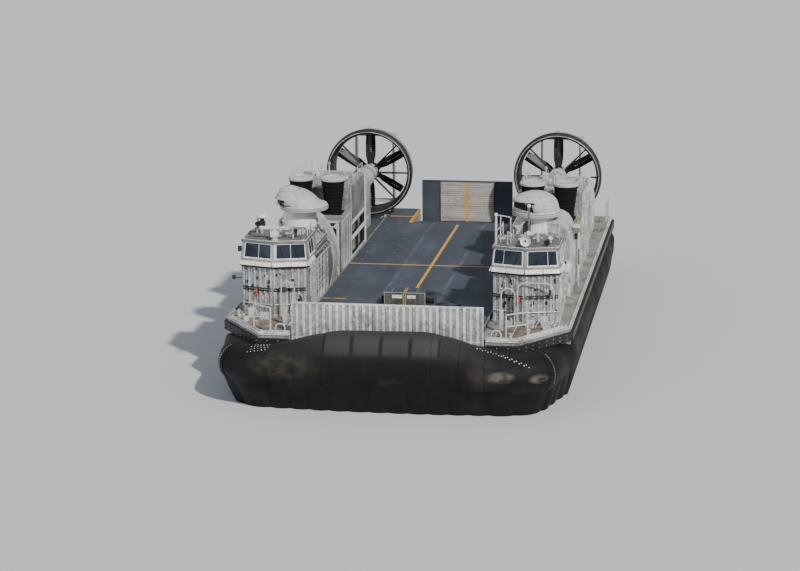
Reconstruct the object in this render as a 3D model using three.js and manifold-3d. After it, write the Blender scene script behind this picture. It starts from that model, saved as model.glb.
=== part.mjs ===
// Air-cushion landing craft, 28 m long, modelled in millimetres with +Z up.
// The bow points to -Y, starboard is -X and port is +X. The origin is at the middle
// of the footprint, on the level of the skirt's finger tips.
import * as THREE from 'three';
import { mergeVertices } from 'three/addons/utils/BufferGeometryUtils.js';
import Module from 'manifold-3d';

const wasm = await Module();
wasm.setup();

// Driving dimensions
const GAP = 0.3;                // seat clearance between touching pieces
const RUN = 6;                  // running clearance of pieces that move
const SIDES = { starboard: -1, port: 1 };

const HULL = {
  bottomZ: 1500, bilgeZ: 2040, deckZ: 2850, halfBeam: 7100, bowY: -12200, sternY: 12600,
  bowHalf: 5250, shoulderY: -9600, bilgeInset: 650,
};
const DECK = {
  topZ: 3000, thick: 150, half: 3745, foreY: -10600, aftY: 12590,
  bowEndY: -11950, bowEndZ: 2560, wellHalf: 2350, wellY: 9150, wellEndY: 12280, wellEndZ: 2450,
};
const RAILS = { x: 3200, width: 420, height: 150, fromY: -9000, toY: 11000 };
const SLOTS = { bowWallY: -12000, bowFloorZ: 2150, sternWallY: 12320, sternFloorZ: 2080, side: 60 };
const FENDER = { lowZ: 2340, highZ: 2680, proud: 120 };
const BOW_RAMP = { half: 3880, y: -12120, hingeZ: 2430, topZ: 4180, thick: 130 };
const STERN_RAMP = { half: 2240, y: 12480, hingeZ: 2290, topZ: 4460, thick: 140 };
const SKIRT = {
  core: 1200, bagLowZ: 800, sideBulge: 250, fingerPitch: 800, splitY: -8500, sternY: 11300,
};
const KEEL = {
  half: 450, fromY: -9000, toY: 10900, lowZ: 60, crossY: 900, crossHalf: 6000, crossThick: 700,
};
const SIDE = { innerX: 3800, outerX: 6620 };
const CABIN = {
  noseY: -9500, frontY: -9100, aftY: -6900, sillZ: 4990, topZ: 5920, wall: 130, lean: 90,
  windowLow: 5250, windowHigh: 5860, roof: 100,
};
const CABIN_FLANK = { foreY: -8550, aftY: -7500 };
const DOOR = { y: -8350, width: 760, lowZ: 3120, height: 1780, thick: 45 };
const FAN = { foreY: -6850, drumY: -4400, aftY: -2000, topZ: 5350 };
const THRUSTER = { x: 5120, y: -3900, neckR: 700, footZ: 5000, baseZ: 6300, skirtR: 1045, skirtHeight: 260 };
const ENGINE_BAY = { foreY: -1150, stepY: 1050, aftY: 4850, lowZ: 5200, highZ: 6250, wall: 120 };
const ENGINE = { x: 5250, fromY: 1500, toY: 4000, half: 550, height: 1100 };
const STACK = { y: 530, innerX: 4480, outerX: 5940, topR: 575, lowR: 330, topZ: 6850 };
const AFT = { innerX: 4750, outerX: 6450, foreY: 4900, aftY: 9900, foreZ: 5950, aftZ: 4500 };
const DUCT = { x: 4600, z: 5120, lipR: 2120, throatR: 1830, foreY: 10600, aftY: 12050 };
const HUB = { fairingR: 430, bearingR: 400, bearingY: 10350, propY: 11000 };
const PROP = { tipR: 1790, hubR: 380, blades: 6, toY: 11560 };
const RUDDER = { offset: 930, pivotY: 12390, half: 1560, chord: 620, nose: 130, beamZ: 1600 };
const WINCH = { y: -7600, half: 850, depth: 850, height: 620, drum: 400, play: 8 };

// Boolean helpers on closed three.js geometry
function solid(geometry) {
  const bare = geometry.clone();
  bare.deleteAttribute('normal');
  bare.deleteAttribute('uv');
  const merged = mergeVertices(bare, 1e-3);
  const faces = Array.from(merged.index.array);
  if (signedVolume(merged) < 0) {
    for (let k = 0; k < faces.length; k += 3) [faces[k + 1], faces[k + 2]] = [faces[k + 2], faces[k + 1]];
  }
  return new wasm.Manifold(new wasm.Mesh({
    numProp: 3,
    vertProperties: new Float32Array(merged.attributes.position.array),
    triVerts: new Uint32Array(faces),
  }));
}

function toGeometry(body) {
  const mesh = body.getMesh();
  const geometry = new THREE.BufferGeometry();
  geometry.setAttribute('position', new THREE.BufferAttribute(mesh.vertProperties, 3));
  geometry.setIndex(new THREE.BufferAttribute(mesh.triVerts, 1));
  geometry.computeVertexNormals();
  return geometry;
}

const join = (bodies) => bodies.reduce((a, b) => a.add(b));
const cut = (body, tools) => tools.reduce((a, b) => a.subtract(b), body);

function box([x0, x1], [y0, y1], [z0, z1]) {
  const geometry = new THREE.BoxGeometry(Math.abs(x1 - x0), Math.abs(y1 - y0), Math.abs(z1 - z0));
  geometry.translate((x0 + x1) / 2, (y0 + y1) / 2, (z0 + z1) / 2);
  return solid(geometry);
}

// A closed outline of [a, b] points, extruded from h0 to h1
function extrude(points, h0, h1) {
  const shape = new THREE.Shape(points.map(([a, b]) => new THREE.Vector2(a, b)));
  const geometry = new THREE.ExtrudeGeometry(shape, { depth: h1 - h0, bevelEnabled: false });
  geometry.translate(0, 0, h0);
  return geometry;
}

const prismZ = (points, z0, z1) => solid(extrude(points, z0, z1));

// Side profile of [y, z] points, extruded along X
function prismX(points, x0, x1) {
  const geometry = extrude(points, x0, x1);
  geometry.applyMatrix4(new THREE.Matrix4().set(0, 0, 1, 0, 1, 0, 0, 0, 0, 1, 0, 0, 0, 0, 0, 1));
  return solid(geometry);
}

// Cross profile of [x, z] points, extruded along Y
function prismY(points, y0, y1) {
  const geometry = extrude(points, -y1, -y0);
  geometry.rotateX(Math.PI / 2);
  return solid(geometry);
}

// Profile of [radius, height] points turned about the Z axis, then placed
function turned(points, segments, x, y, z) {
  const geometry = new THREE.LatheGeometry(points.map(([r, h]) => new THREE.Vector2(r, h)), segments);
  geometry.rotateX(Math.PI / 2);
  geometry.translate(x, y, z);
  return solid(geometry);
}

// Profile of [radius, y] points turned about a line along Y through x, z
function turnedY(points, segments, x, z) {
  const geometry = new THREE.LatheGeometry(points.map(([r, h]) => new THREE.Vector2(r, h)), segments);
  geometry.translate(x, 0, z);
  return solid(geometry);
}

// Round bar between two points
function bar(from, to, radius, sides = 8) {
  const a = new THREE.Vector3(...from);
  const b = new THREE.Vector3(...to);
  const geometry = new THREE.CylinderGeometry(radius, radius, a.distanceTo(b), sides);
  const turn = new THREE.Quaternion().setFromUnitVectors(
    new THREE.Vector3(0, 1, 0), b.clone().sub(a).normalize());
  geometry.applyQuaternion(turn);
  const middle = a.clone().add(b).multiplyScalar(0.5);
  geometry.translate(middle.x, middle.y, middle.z);
  return solid(geometry);
}

function bars(points, radius, sides = 8) {
  const pieces = [];
  for (let i = 1; i < points.length; i += 1) {
    pieces.push(bar(points[i - 1], points[i], radius, sides));
  }
  return join(pieces);
}

// Skin over rings of equal point count, closed by a fan at both ends
function loft(rings) {
  const count = rings[0].length;
  const points = rings.flat();
  const faces = [];
  for (let i = 1; i < rings.length; i += 1) {
    for (let j = 0; j < count; j += 1) {
      const a = (i - 1) * count + j;
      const b = (i - 1) * count + (j + 1) % count;
      faces.push(a, b, a + count, b, b + count, a + count);
    }
  }
  const cap = (ring) => {
    const [u, v] = flattest(ring);
    const flat = ring.map((p) => new THREE.Vector2(p[u], p[v]));
    const turn = THREE.ShapeUtils.area(flat);
    return THREE.ShapeUtils.triangulateShape(flat, []).map(([a, b, c]) => (
      THREE.ShapeUtils.area([flat[a], flat[b], flat[c]]) * turn > 0 ? [a, b, c] : [a, c, b]));
  };
  const last = (rings.length - 1) * count;
  for (const [a, b, c] of cap(rings[0])) faces.push(a, c, b);
  for (const [a, b, c] of cap(rings[rings.length - 1])) faces.push(last + a, last + b, last + c);
  const geometry = new THREE.BufferGeometry();
  geometry.setAttribute('position', new THREE.Float32BufferAttribute(points.flat(), 3));
  geometry.setIndex(faces);
  return solid(geometry);
}

// The two axes in which a ring's outline is widest
function flattest(ring) {
  const spread = [0, 1, 2].map((k) => {
    const values = ring.map((p) => p[k]);
    return Math.max(...values) - Math.min(...values);
  });
  const drop = spread.indexOf(Math.min(...spread));
  return [0, 1, 2].filter((k) => k !== drop);
}

function signedVolume(geometry) {
  const p = geometry.attributes.position;
  const index = geometry.index.array;
  let total = 0;
  for (let k = 0; k < index.length; k += 3) {
    const [a, b, c] = [index[k], index[k + 1], index[k + 2]]
      .map((i) => new THREE.Vector3(p.getX(i), p.getY(i), p.getZ(i)));
    total += a.dot(b.cross(c));
  }
  return total;
}

// Plan outlines
function hullOutline(grow = 0) {
  const g = grow;
  return [
    [-HULL.bowHalf - g * 0.5, HULL.bowY - g], [HULL.bowHalf + g * 0.5, HULL.bowY - g],
    [HULL.halfBeam + g, HULL.shoulderY - g * 0.3], [HULL.halfBeam + g, HULL.sternY + g],
    [-HULL.halfBeam - g, HULL.sternY + g], [-HULL.halfBeam - g, HULL.shoulderY - g * 0.3],
  ];
}

const atHeight = (outline, z) => outline.map(([x, y]) => [x, y, z]);

// Raft body: bevelled bow shoulders, a bilge that slopes in, slots for both ramps
function hullBody(grow) {
  const raft = loft([
    atHeight(hullOutline(grow - HULL.bilgeInset), HULL.bottomZ - grow),
    atHeight(hullOutline(grow), HULL.bilgeZ),
    atHeight(hullOutline(grow), HULL.deckZ - GAP + grow),
  ]);
  const lengths = [
    [RAILS.fromY, KEEL.crossY - KEEL.crossThick], [KEEL.crossY + KEEL.crossThick, RAILS.toY],
  ];
  const rails = [-1, 1].flatMap((s) => lengths.map(([y0, y1]) => box(
    [s * RAILS.x - RAILS.width / 2 - grow, s * RAILS.x + RAILS.width / 2 + grow],
    [y0 - grow, y1 + grow], [HULL.bottomZ - RAILS.height - grow, HULL.bottomZ + 10])));
  return join([raft, ...rails]);
}

function deckSlope([y0, z0], [y1, z1], half) {
  const t = DECK.thick;
  return prismX([[y0, z0], [y1, z1], [y1, z1 - t], [y0, z0 - t]], -half, half);
}

function cargoDeck() {
  const w = DECK.half;
  const v = DECK.wellHalf;
  const flat = prismZ([
    [-w, DECK.foreY], [w, DECK.foreY], [w, DECK.aftY], [v, DECK.aftY], [v, DECK.wellY],
    [-v, DECK.wellY], [-v, DECK.aftY], [-w, DECK.aftY],
  ], DECK.topZ - DECK.thick, DECK.topZ);
  const bow = deckSlope([DECK.foreY, DECK.topZ], [DECK.bowEndY, DECK.bowEndZ], w);
  const stern = deckSlope([DECK.wellY, DECK.topZ], [DECK.wellEndY, DECK.wellEndZ], v);
  const winchWell = box([-WINCH.half - WINCH.play, WINCH.half + WINCH.drum + WINCH.play],
    [WINCH.y - WINCH.play, WINCH.y + WINCH.depth + WINCH.play],
    [DECK.topZ - DECK.thick - 50, DECK.topZ + 50]);
  return join([flat, bow, stern]).subtract(winchWell);
}

function hull() {
  const low = DECK.thick + GAP;
  const high = HULL.deckZ + 500;
  const bowCut = prismX([
    [DECK.foreY, DECK.topZ - low], [DECK.bowEndY, DECK.bowEndZ - low], [HULL.bowY - 300, DECK.bowEndZ - low],
    [HULL.bowY - 300, high], [DECK.foreY, high],
  ], -DECK.half - GAP, DECK.half + GAP);
  const sternCut = prismX([
    [DECK.wellY, DECK.topZ - low], [DECK.wellEndY, DECK.wellEndZ - low],
    [HULL.sternY + 300, DECK.wellEndZ - low], [HULL.sternY + 300, high], [DECK.wellY, high],
  ], -DECK.wellHalf - GAP, DECK.wellHalf + GAP);
  const bowHalf = BOW_RAMP.half + SLOTS.side;
  const sternHalf = STERN_RAMP.half + SLOTS.side;
  const bowSlot = box([-bowHalf, bowHalf], [HULL.bowY - 300, SLOTS.bowWallY], [SLOTS.bowFloorZ, high]);
  const sternSlot = box([-sternHalf, sternHalf], [SLOTS.sternWallY, HULL.sternY + 300],
    [SLOTS.sternFloorZ, high]);
  const ears = [
    ...rampEars(BOW_RAMP, SLOTS.bowWallY, SLOTS.bowFloorZ),
    ...rampEars(STERN_RAMP, SLOTS.sternWallY, SLOTS.sternFloorZ),
  ];
  return join([cut(hullBody(0), [bowCut, sternCut, bowSlot, sternSlot]), ...ears]);
}

// Hinge lugs of a ramp: x offsets of the ramp's own knuckles, and of the hull's ears beside them
const KNUCKLES = { count: 4, width: 260, earWidth: 120, earReach: 45, rise: 110, ribRise: 200 };

function knuckleXs(ramp) {
  const step = (2 * ramp.half - 900) / (KNUCKLES.count - 1);
  return Array.from({ length: KNUCKLES.count }, (_, i) => -ramp.half + 450 + i * step);
}

function rampEars(ramp, wallY, floorZ) {
  const out = Math.sign(ramp.y);
  return knuckleXs(ramp).flatMap((x) => [-1, 1].map((s) => {
    const x0 = x + s * (KNUCKLES.width / 2 + GAP * 2);
    const x1 = x0 + s * KNUCKLES.earWidth;
    return box([Math.min(x0, x1), Math.max(x0, x1)],
      [ramp.y + out * KNUCKLES.earReach, wallY - out * 12].sort((a, b) => a - b),
      [floorZ - 30, ramp.hingeZ + 45]);
  }));
}

// Ramp plate standing on its hinge, ribbed on the outside
function ramp(spec) {
  const out = Math.sign(spec.y);
  const y0 = spec.y - spec.thick / 2;
  const plate = box([-spec.half, spec.half], [y0 + 20, y0 + spec.thick - 20],
    [spec.hingeZ + KNUCKLES.rise, spec.topZ]);
  const knuckles = knuckleXs(spec).map((x) => join([
    box([x - KNUCKLES.width / 2, x + KNUCKLES.width / 2], [spec.y - 40, spec.y + 40],
      [spec.hingeZ, spec.hingeZ + KNUCKLES.rise + 30]),
    bar([x - KNUCKLES.width / 2, spec.y, spec.hingeZ], [x + KNUCKLES.width / 2, spec.y, spec.hingeZ], 45, 12),
  ]));
  const ribs = [];
  const pitch = 540;
  const n = Math.floor((2 * spec.half - 200) / pitch);
  for (let i = 0; i <= n; i += 1) {
    const x = (i - n / 2) * pitch;
    ribs.push(box([x - 35, x + 35], out < 0 ? [y0, y0 + 60] : [y0 + spec.thick - 60, y0 + spec.thick],
      [spec.hingeZ + KNUCKLES.ribRise, spec.topZ]));
  }
  return join([plate, ...knuckles, ...ribs]);
}

// Skirt: every section hangs on a core path, the hull outline drawn in by SKIRT.core
function corePath() {
  const outer = hullOutline(0);
  const n = outer.length;
  const edges = outer.map((p, i) => {
    const q = outer[(i + 1) % n];
    const length = Math.hypot(q[0] - p[0], q[1] - p[1]);
    return { normal: [(q[1] - p[1]) / length, -(q[0] - p[0]) / length], point: p };
  });
  const corners = outer.map((_, i) => {
    const e = edges[(i + n - 1) % n];
    const f = edges[i];
    const de = e.normal[0] * e.point[0] + e.normal[1] * e.point[1] - SKIRT.core;
    const df = f.normal[0] * f.point[0] + f.normal[1] * f.point[1] - SKIRT.core;
    const det = e.normal[0] * f.normal[1] - e.normal[1] * f.normal[0];
    return [(de * f.normal[1] - df * e.normal[1]) / det, (e.normal[0] * df - f.normal[0] * de) / det];
  });
  return { edges, corners };
}

const PATH = corePath();

// Stations {x, y, nx, ny, s} along one run: edges by number, with arcs between them.
// first and last give where the run starts and ends, as y of the two outer edges.
function stations(edgeNumbers, firstY, lastY, step) {
  const list = [];
  const count = PATH.corners.length;
  let travelled = 0;
  const push = (x, y, nx, ny) => {
    const before = list[list.length - 1];
    const r = SKIRT.core;
    if (before) {
      travelled += Math.hypot(x + nx * r - before.x - before.nx * r, y + ny * r - before.y - before.ny * r);
    }
    list.push({ x, y, nx, ny, s: travelled });
  };
  edgeNumbers.forEach((e, k) => {
    let a = PATH.corners[e];
    let b = PATH.corners[(e + 1) % count];
    const [nx, ny] = PATH.edges[e].normal;
    if (k === 0 && firstY !== null) a = [a[0], firstY];
    if (k === edgeNumbers.length - 1 && lastY !== null) b = [b[0], lastY];
    if (k > 0) {
      const before = PATH.edges[edgeNumbers[k - 1]].normal;
      const a0 = Math.atan2(before[1], before[0]);
      let turn = Math.atan2(ny, nx) - a0;
      if (turn < -Math.PI) turn += 2 * Math.PI;
      if (turn > Math.PI) turn -= 2 * Math.PI;
      const parts = Math.max(2, Math.round(Math.abs(turn) * 2200 / step));
      for (let i = 1; i < parts; i += 1) {
        const angle = a0 + turn * i / parts;
        push(a[0], a[1], Math.cos(angle), Math.sin(angle));
      }
    }
    const length = Math.hypot(b[0] - a[0], b[1] - a[1]);
    const parts = Math.max(1, Math.round(length / step));
    for (let i = 0; i <= parts; i += 1) {
      push(a[0] + (b[0] - a[0]) * i / parts, a[1] + (b[1] - a[1]) * i / parts, nx, ny);
    }
  });
  return list;
}

// Bag form at a station: how far it bulges past the hull's edge, and its top
const smooth = (t) => { const c = Math.min(1, Math.max(0, t)); return c * c * (3 - 2 * c); };

function bagForm(station) {
  const y = station.y + station.ny * SKIRT.core;
  const x = Math.abs(station.x + station.nx * SKIRT.core);
  if (y < SKIRT.splitY + 1) {
    const back = smooth((y + 12100) / 2700);
    const wide = smooth((x - 1300) / 4200);
    return {
      bulge: 1800 - 200 * wide - (1600 - SKIRT.sideBulge) * back, top: 3360 - 850 * wide - 240 * back,
      radius: 950 - 480 * back,
    };
  }
  if (y > SKIRT.sternY - 1) {
    const back = smooth((station.ny - 0.5) * 2);
    return {
      bulge: SKIRT.sideBulge + (1400 - SKIRT.sideBulge) * back,
      top: 2270 - 90 * back,
      radius: 470 + 430 * back,
    };
  }
  return { bulge: SKIRT.sideBulge, top: 2270, radius: 470 };
}

const BAG_ANGLES = [118, 95, 70, 40, 10, -20, -50, -80, -108];

function bagRing(station, grow) {
  const form = bagForm(station);
  const centreO = form.bulge - form.radius;
  const centreZ = (form.top + SKIRT.bagLowZ) / 2;
  const rz = (form.top - SKIRT.bagLowZ) / 2 + grow;
  const section = BAG_ANGLES.map((d) => {
    const a = d * Math.PI / 180;
    return [centreO + (form.radius + grow) * Math.cos(a), centreZ + rz * Math.sin(a)];
  });
  section.push([-560 - grow, 1180 - grow], [-560 - grow, 2100 + grow], [40 - grow, 2110 + grow]);
  if (form.top > 2600) section.push([60 - grow, centreZ + rz * 0.6]);
  else section.push([20, 2120 + grow]);
  return section.map(([o, z]) => [
    station.x + station.nx * (SKIRT.core + o), station.y + station.ny * (SKIRT.core + o), z]);
}

// Finger wall: a scalloped curtain from the bag's underside down to the ground
function fingerRing(station, phase) {
  const form = bagForm(station);
  const centreO = form.bulge - form.radius;
  const scallop = 70 * Math.sin(phase);
  const outTop = centreO + form.radius * 0.66 + scallop;
  const inTop = outTop - Math.min(520, form.radius * 1.1);
  const outLow = centreO + form.radius * 0.1 + scallop;
  const centreZ = (form.top + SKIRT.bagLowZ) / 2;
  const underside = (o) => centreZ + 90 - (centreZ - SKIRT.bagLowZ)
    * Math.sqrt(Math.max(0, 1 - ((o - centreO) / form.radius) ** 2));
  const section = [[outTop, underside(outTop)], [outLow, 0], [outLow - 260, 0], [inTop, underside(inTop)]];
  return section.map(([o, z]) => [
    station.x + station.nx * (SKIRT.core + o), station.y + station.ny * (SKIRT.core + o), z]);
}

// Runs of the skirt: edges of the hull outline and the Y of both ends
const RUNS = {
  bow: { edges: [4, 5, 0, 1, 2], from: SKIRT.splitY, to: SKIRT.splitY },
  port: { edges: [2], from: SKIRT.splitY + GAP, to: SKIRT.sternY - GAP },
  stern: { edges: [2, 3, 4], from: SKIRT.sternY, to: SKIRT.sternY },
  starboard: { edges: [4], from: SKIRT.sternY - GAP, to: SKIRT.splitY + GAP },
};

function bag(run, grow, tools) {
  const rings = stations(run.edges, run.from, run.to, 1100).map((s) => bagRing(s, grow));
  return cut(loft(rings), tools);
}

function fingers(run, tools) {
  const step = SKIRT.fingerPitch / 2;
  const rings = stations(run.edges, run.from, run.to, step)
    .map((s, i) => fingerRing(s, i % 2 === 0 ? -Math.PI / 2 : Math.PI / 2));
  return cut(loft(rings), tools);
}

// Rubbing strip along one side, from the bow ramp's slot to the stern's
function fender(side) {
  const s = SIDES[side];
  const outer = prismZ(hullOutline(FENDER.proud), FENDER.lowZ, FENDER.highZ);
  const inner = prismZ(hullOutline(GAP), FENDER.lowZ - 10, FENDER.highZ + 10);
  const keep = box([s < 0 ? -9000 : 0, s < 0 ? 0 : 9000], [-15000, 15000], [0, 9000]);
  const slots = [
    box([-BOW_RAMP.half - 120, BOW_RAMP.half + 120], [-15000, -11000], [0, 9000]),
    box([-STERN_RAMP.half - 120, STERN_RAMP.half + 120], [12000, 15000], [0, 9000]),
  ];
  return cut(outer.subtract(inner).intersect(keep), slots);
}

// Keel bag with the cross bag that divides the cushion
function keelBag(hullGrown) {
  const h = KEEL.half;
  const section = (half) => [
    [-half, 1600], [-half, 450], [-half * 0.55, KEEL.lowZ],
    [half * 0.55, KEEL.lowZ], [half, 450], [half, 1600]];
  const along = prismY(section(h), KEEL.fromY, KEEL.toY);
  const crossSection = section(KEEL.crossThick / 2).map(([y, z]) => [y + KEEL.crossY, z]);
  const across = prismX(crossSection, -KEEL.crossHalf, KEEL.crossHalf);
  return cut(join([along, across]), [hullGrown]);
}

// Side structures. Each function takes s, -1 for starboard and 1 for port.
const spanX = (s, x0, x1) => (s < 0 ? [-x1, -x0] : [x0, x1]);
const FLOOR = HULL.deckZ + GAP;

function cabinPlan(s, inset, lean = 0) {
  const middle = (SIDE.innerX + SIDE.outerX) / 2;
  const half = (SIDE.outerX - SIDE.innerX) / 2 - inset;
  const nose = CABIN.noseY + inset * 1.05 + lean;
  const front = CABIN.frontY + inset * 1.05 + lean;
  const aft = CABIN.aftY - inset;
  return [
    [s * (middle - half), front], [s * middle, nose], [s * (middle + half), front],
    [s * (middle + half), aft], [s * (middle - half), aft],
  ];
}

function cabinShell(s) {
  const lower = prismZ(cabinPlan(s, 60, 40), FLOOR, CABIN.sillZ);
  const upper = loft([
    atHeight(cabinPlan(s, 0), CABIN.sillZ - 60), atHeight(cabinPlan(s, 0), CABIN.sillZ + 80),
    atHeight(cabinPlan(s, CABIN.lean), CABIN.topZ),
  ]);
  const inside = prismZ(cabinPlan(s, CABIN.wall), FLOOR + 100, CABIN.topZ + 50);
  const middle = (SIDE.innerX + SIDE.outerX) / 2;
  const z = [CABIN.windowLow, CABIN.windowHigh];
  const front = [-1, 1].map((t) => box(
    spanX(s, middle + (t < 0 ? -1200 : 110), middle + (t < 0 ? -110 : 1200)), [-9800, -8700], z));
  const flanks = [-1, 1].map((t) => box(
    spanX(s, middle + t * 1300 - 300, middle + t * 1300 + 300), [CABIN_FLANK.foreY, CABIN_FLANK.aftY], z));
  const doorway = box(
    spanX(s, SIDE.innerX - 200, SIDE.innerX + 300), [DOOR.y + 60, DOOR.y + DOOR.width - 60],
    [DOOR.lowZ + 60, DOOR.lowZ + DOOR.height - 60]);
  return cut(join([lower, upper]), [inside, ...front, ...flanks, doorway]).add(doorEars(s));
}

// Door hinge: the pin line, the height of each knuckle, and the shell's ears above and below it
function doorHinge(s) {
  return {
    x: s * (SIDE.innerX + 60 - RUN - DOOR.thick), y: DOOR.y - 10,
    zs: [DOOR.lowZ + 300, DOOR.lowZ + DOOR.height - 300],
  };
}

function doorEars(s) {
  const hinge = doorHinge(s);
  return join(hinge.zs.flatMap((z) => [-1, 1].map((t) => {
    const z0 = z + t * (60 + GAP);
    const z1 = z0 + t * 40;
    return box(spanX(s, Math.abs(hinge.x) - 25, SIDE.innerX + 70), [hinge.y - 70, hinge.y + 20],
      [Math.min(z0, z1), Math.max(z0, z1)]);
  })));
}

function cabinDoor(s) {
  const hinge = doorHinge(s);
  const inner = Math.abs(hinge.x);
  const leaf = box(spanX(s, inner, inner + DOOR.thick), [DOOR.y + 30, DOOR.y + DOOR.width],
    [DOOR.lowZ, DOOR.lowZ + DOOR.height]);
  const knuckles = hinge.zs.map((z) => join([
    turned([[0, -60], [22, -60], [22, 60], [0, 60]], 10, hinge.x, hinge.y, z),
    box(spanX(s, inner - 12, inner + 12), [hinge.y, DOOR.y + 60], [z - 60, z + 60]),
  ]));
  const handle = box(spanX(s, inner - 50, inner), [DOOR.y + DOOR.width - 130, DOOR.y + DOOR.width - 90],
    [DOOR.lowZ + 850, DOOR.lowZ + 1050]);
  return join([leaf, ...knuckles, handle]);
}

function cabinGlass(s) {
  const band = prismZ(cabinPlan(s, CABIN.wall + GAP), CABIN.windowLow - 50, CABIN.windowHigh + 50);
  const inside = prismZ(cabinPlan(s, CABIN.wall + 25), CABIN.windowLow - 80, CABIN.windowHigh + 80);
  const aft = box(spanX(s, SIDE.innerX, SIDE.outerX), [-7350, -6000], [5000, 6400]);
  return cut(band, [inside, aft]);
}

// Poles on the cabin roofs: distance from the middle line, y, height over the roof, radius
const POLES = {
  starboard: [[5710, -8450, 600, 38], [5980, -8450, 840, 32]],
  port: [[5280, -8600, 1640, 40], [3940, -8600, 1240, 42]],
};

function cabinRoof(side) {
  const s = SIDES[side];
  const slab = prismZ(cabinPlan(s, CABIN.lean - 45), CABIN.topZ + GAP, CABIN.topZ + CABIN.roof);
  const middle = s * (SIDE.innerX + SIDE.outerX) / 2;
  const top = CABIN.topZ + CABIN.roof;
  const lockers = [
    box([middle - 1050, middle - 250], [-8500, -7300], [top - 5, top + 130]),
    box([middle + 150, middle + 1000], [-8300, -7200], [top - 5, top + 170]),
  ];
  const poles = POLES[side].map(([x, y, height, radius]) => (
    bar([s * x, y, top - 5], [s * x, y, top + height], radius)));
  return join([slab, ...lockers, ...poles]);
}

// Cross outline [distance from the middle line, z] of each lift fan's drum, from its foot at the deck
// over the top to its foot at the side. The outer shoulder is high on port and cut low on starboard.
const DRUM_INNER = [
  [3960, FLOOR], [3860, 3300], [3805, 3700], [3805, 4050], [3900, 4500], [4050, 4900], [4250, 5260],
  [4450, 5560],
];
const DRUM_OUTER = {
  starboard: [
    [4620, 5700], [5600, 5700], [5800, 5560], [6000, 5350], [6250, 4950], [6420, 4500], [6500, 4000],
    [6500, FLOOR],
  ],
  port: [
    [4640, 5760], [5000, 5950], [5500, 6080], [5850, 6110], [6050, 6080], [6250, 5960], [6410, 5740],
    [6520, 5400], [6570, 5000], [6570, FLOOR],
  ],
};

// Lift-fan casing: a low box behind the cabin, the fan's drum, and the thruster's neck on top
function fanModule(side) {
  const s = SIDES[side];
  const casing = box(spanX(s, SIDE.innerX + 60, SIDE.outerX - 150), [FAN.foreY, FAN.drumY + 50],
    [FLOOR, FAN.topZ]);
  const outline = [...DRUM_INNER, ...DRUM_OUTER[side]].map(([x, z]) => [s * x, z]);
  const drum = prismY(outline, FAN.drumY, FAN.aftY);
  const rise = THRUSTER.baseZ - THRUSTER.footZ - GAP;
  const neck = turned([[0, 0], [THRUSTER.neckR, 0], [THRUSTER.neckR, rise], [0, rise]],
    28, s * THRUSTER.x, THRUSTER.y, THRUSTER.footZ);
  return join([casing, drum, neck]);
}

// Swivelling hood of the bow thruster. yaw is where its mouth points in plan, ringX is how far
// the skirt ring lies off the turning axis, and rows are level sections up to the crown.
const HOODS = {
  starboard: {
    yaw: 172, ringX: -200,
    rows: [
      // height, back end, front end, half width
      [240, -1150, 1040, 930], [370, -830, 1110, 930], [480, -700, 1080, 920], [600, -560, 1000, 870],
      [740, -330, 920, 730], [830, 60, 850, 600], [900, 240, 780, 430], [970, 440, 640, 200],
    ],
  },
  port: {
    yaw: 217, ringX: 0,
    rows: [
      [240, -950, 980, 950], [420, -930, 1000, 940], [640, -850, 930, 860], [800, -690, 790, 700],
      [930, -440, 560, 470], [1000, -200, 330, 240],
    ],
  },
};
const HOOD_MOUTH = { fromX: 350, toX: 1300, half: 720, topZ: 560 };
const HOOD_WALL = 55;

function hoodRings(rows, inset) {
  return rows.map(([up, back, front, half], k) => {
    const centre = (front + back) / 2;
    const long = (front - back) / 2 - inset;
    const z = k === 0 ? up - inset * 4 : up - inset;
    return Array.from({ length: 20 }, (_, i) => {
      const a = i / 20 * 2 * Math.PI;
      return [centre + long * Math.cos(a), (half - inset) * Math.sin(a), z];
    });
  });
}

function thrusterNozzle(side) {
  const t = THRUSTER;
  const { yaw, ringX, rows } = HOODS[side];
  const skirt = turned([
    [900, 0], [t.skirtR - 40, 0], [t.skirtR, 60], [t.skirtR - 10, 150], [t.skirtR - 70, t.skirtHeight],
    [880, t.skirtHeight], [900, 0],
  ], 32, ringX, 0, 0);
  const floor = turned([[0, 0], [930, 0], [930, 30], [0, 30]], 32, ringX, 0, 0);
  const seat = floor.subtract(turned([[0, -10], [520, -10], [520, 40], [0, 40]], 32, 0, 0, 0));
  const mouth = box([HOOD_MOUTH.fromX, HOOD_MOUTH.toX], [-HOOD_MOUTH.half, HOOD_MOUTH.half],
    [t.skirtHeight, HOOD_MOUTH.topZ]);
  const dome = cut(loft(hoodRings(rows, 0)), [loft(hoodRings(rows, HOOD_WALL)), mouth]);
  return join([dome, skirt, seat]).rotate([0, 0, yaw]).translate([SIDES[side] * t.x, t.y, t.baseZ]);
}

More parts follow.
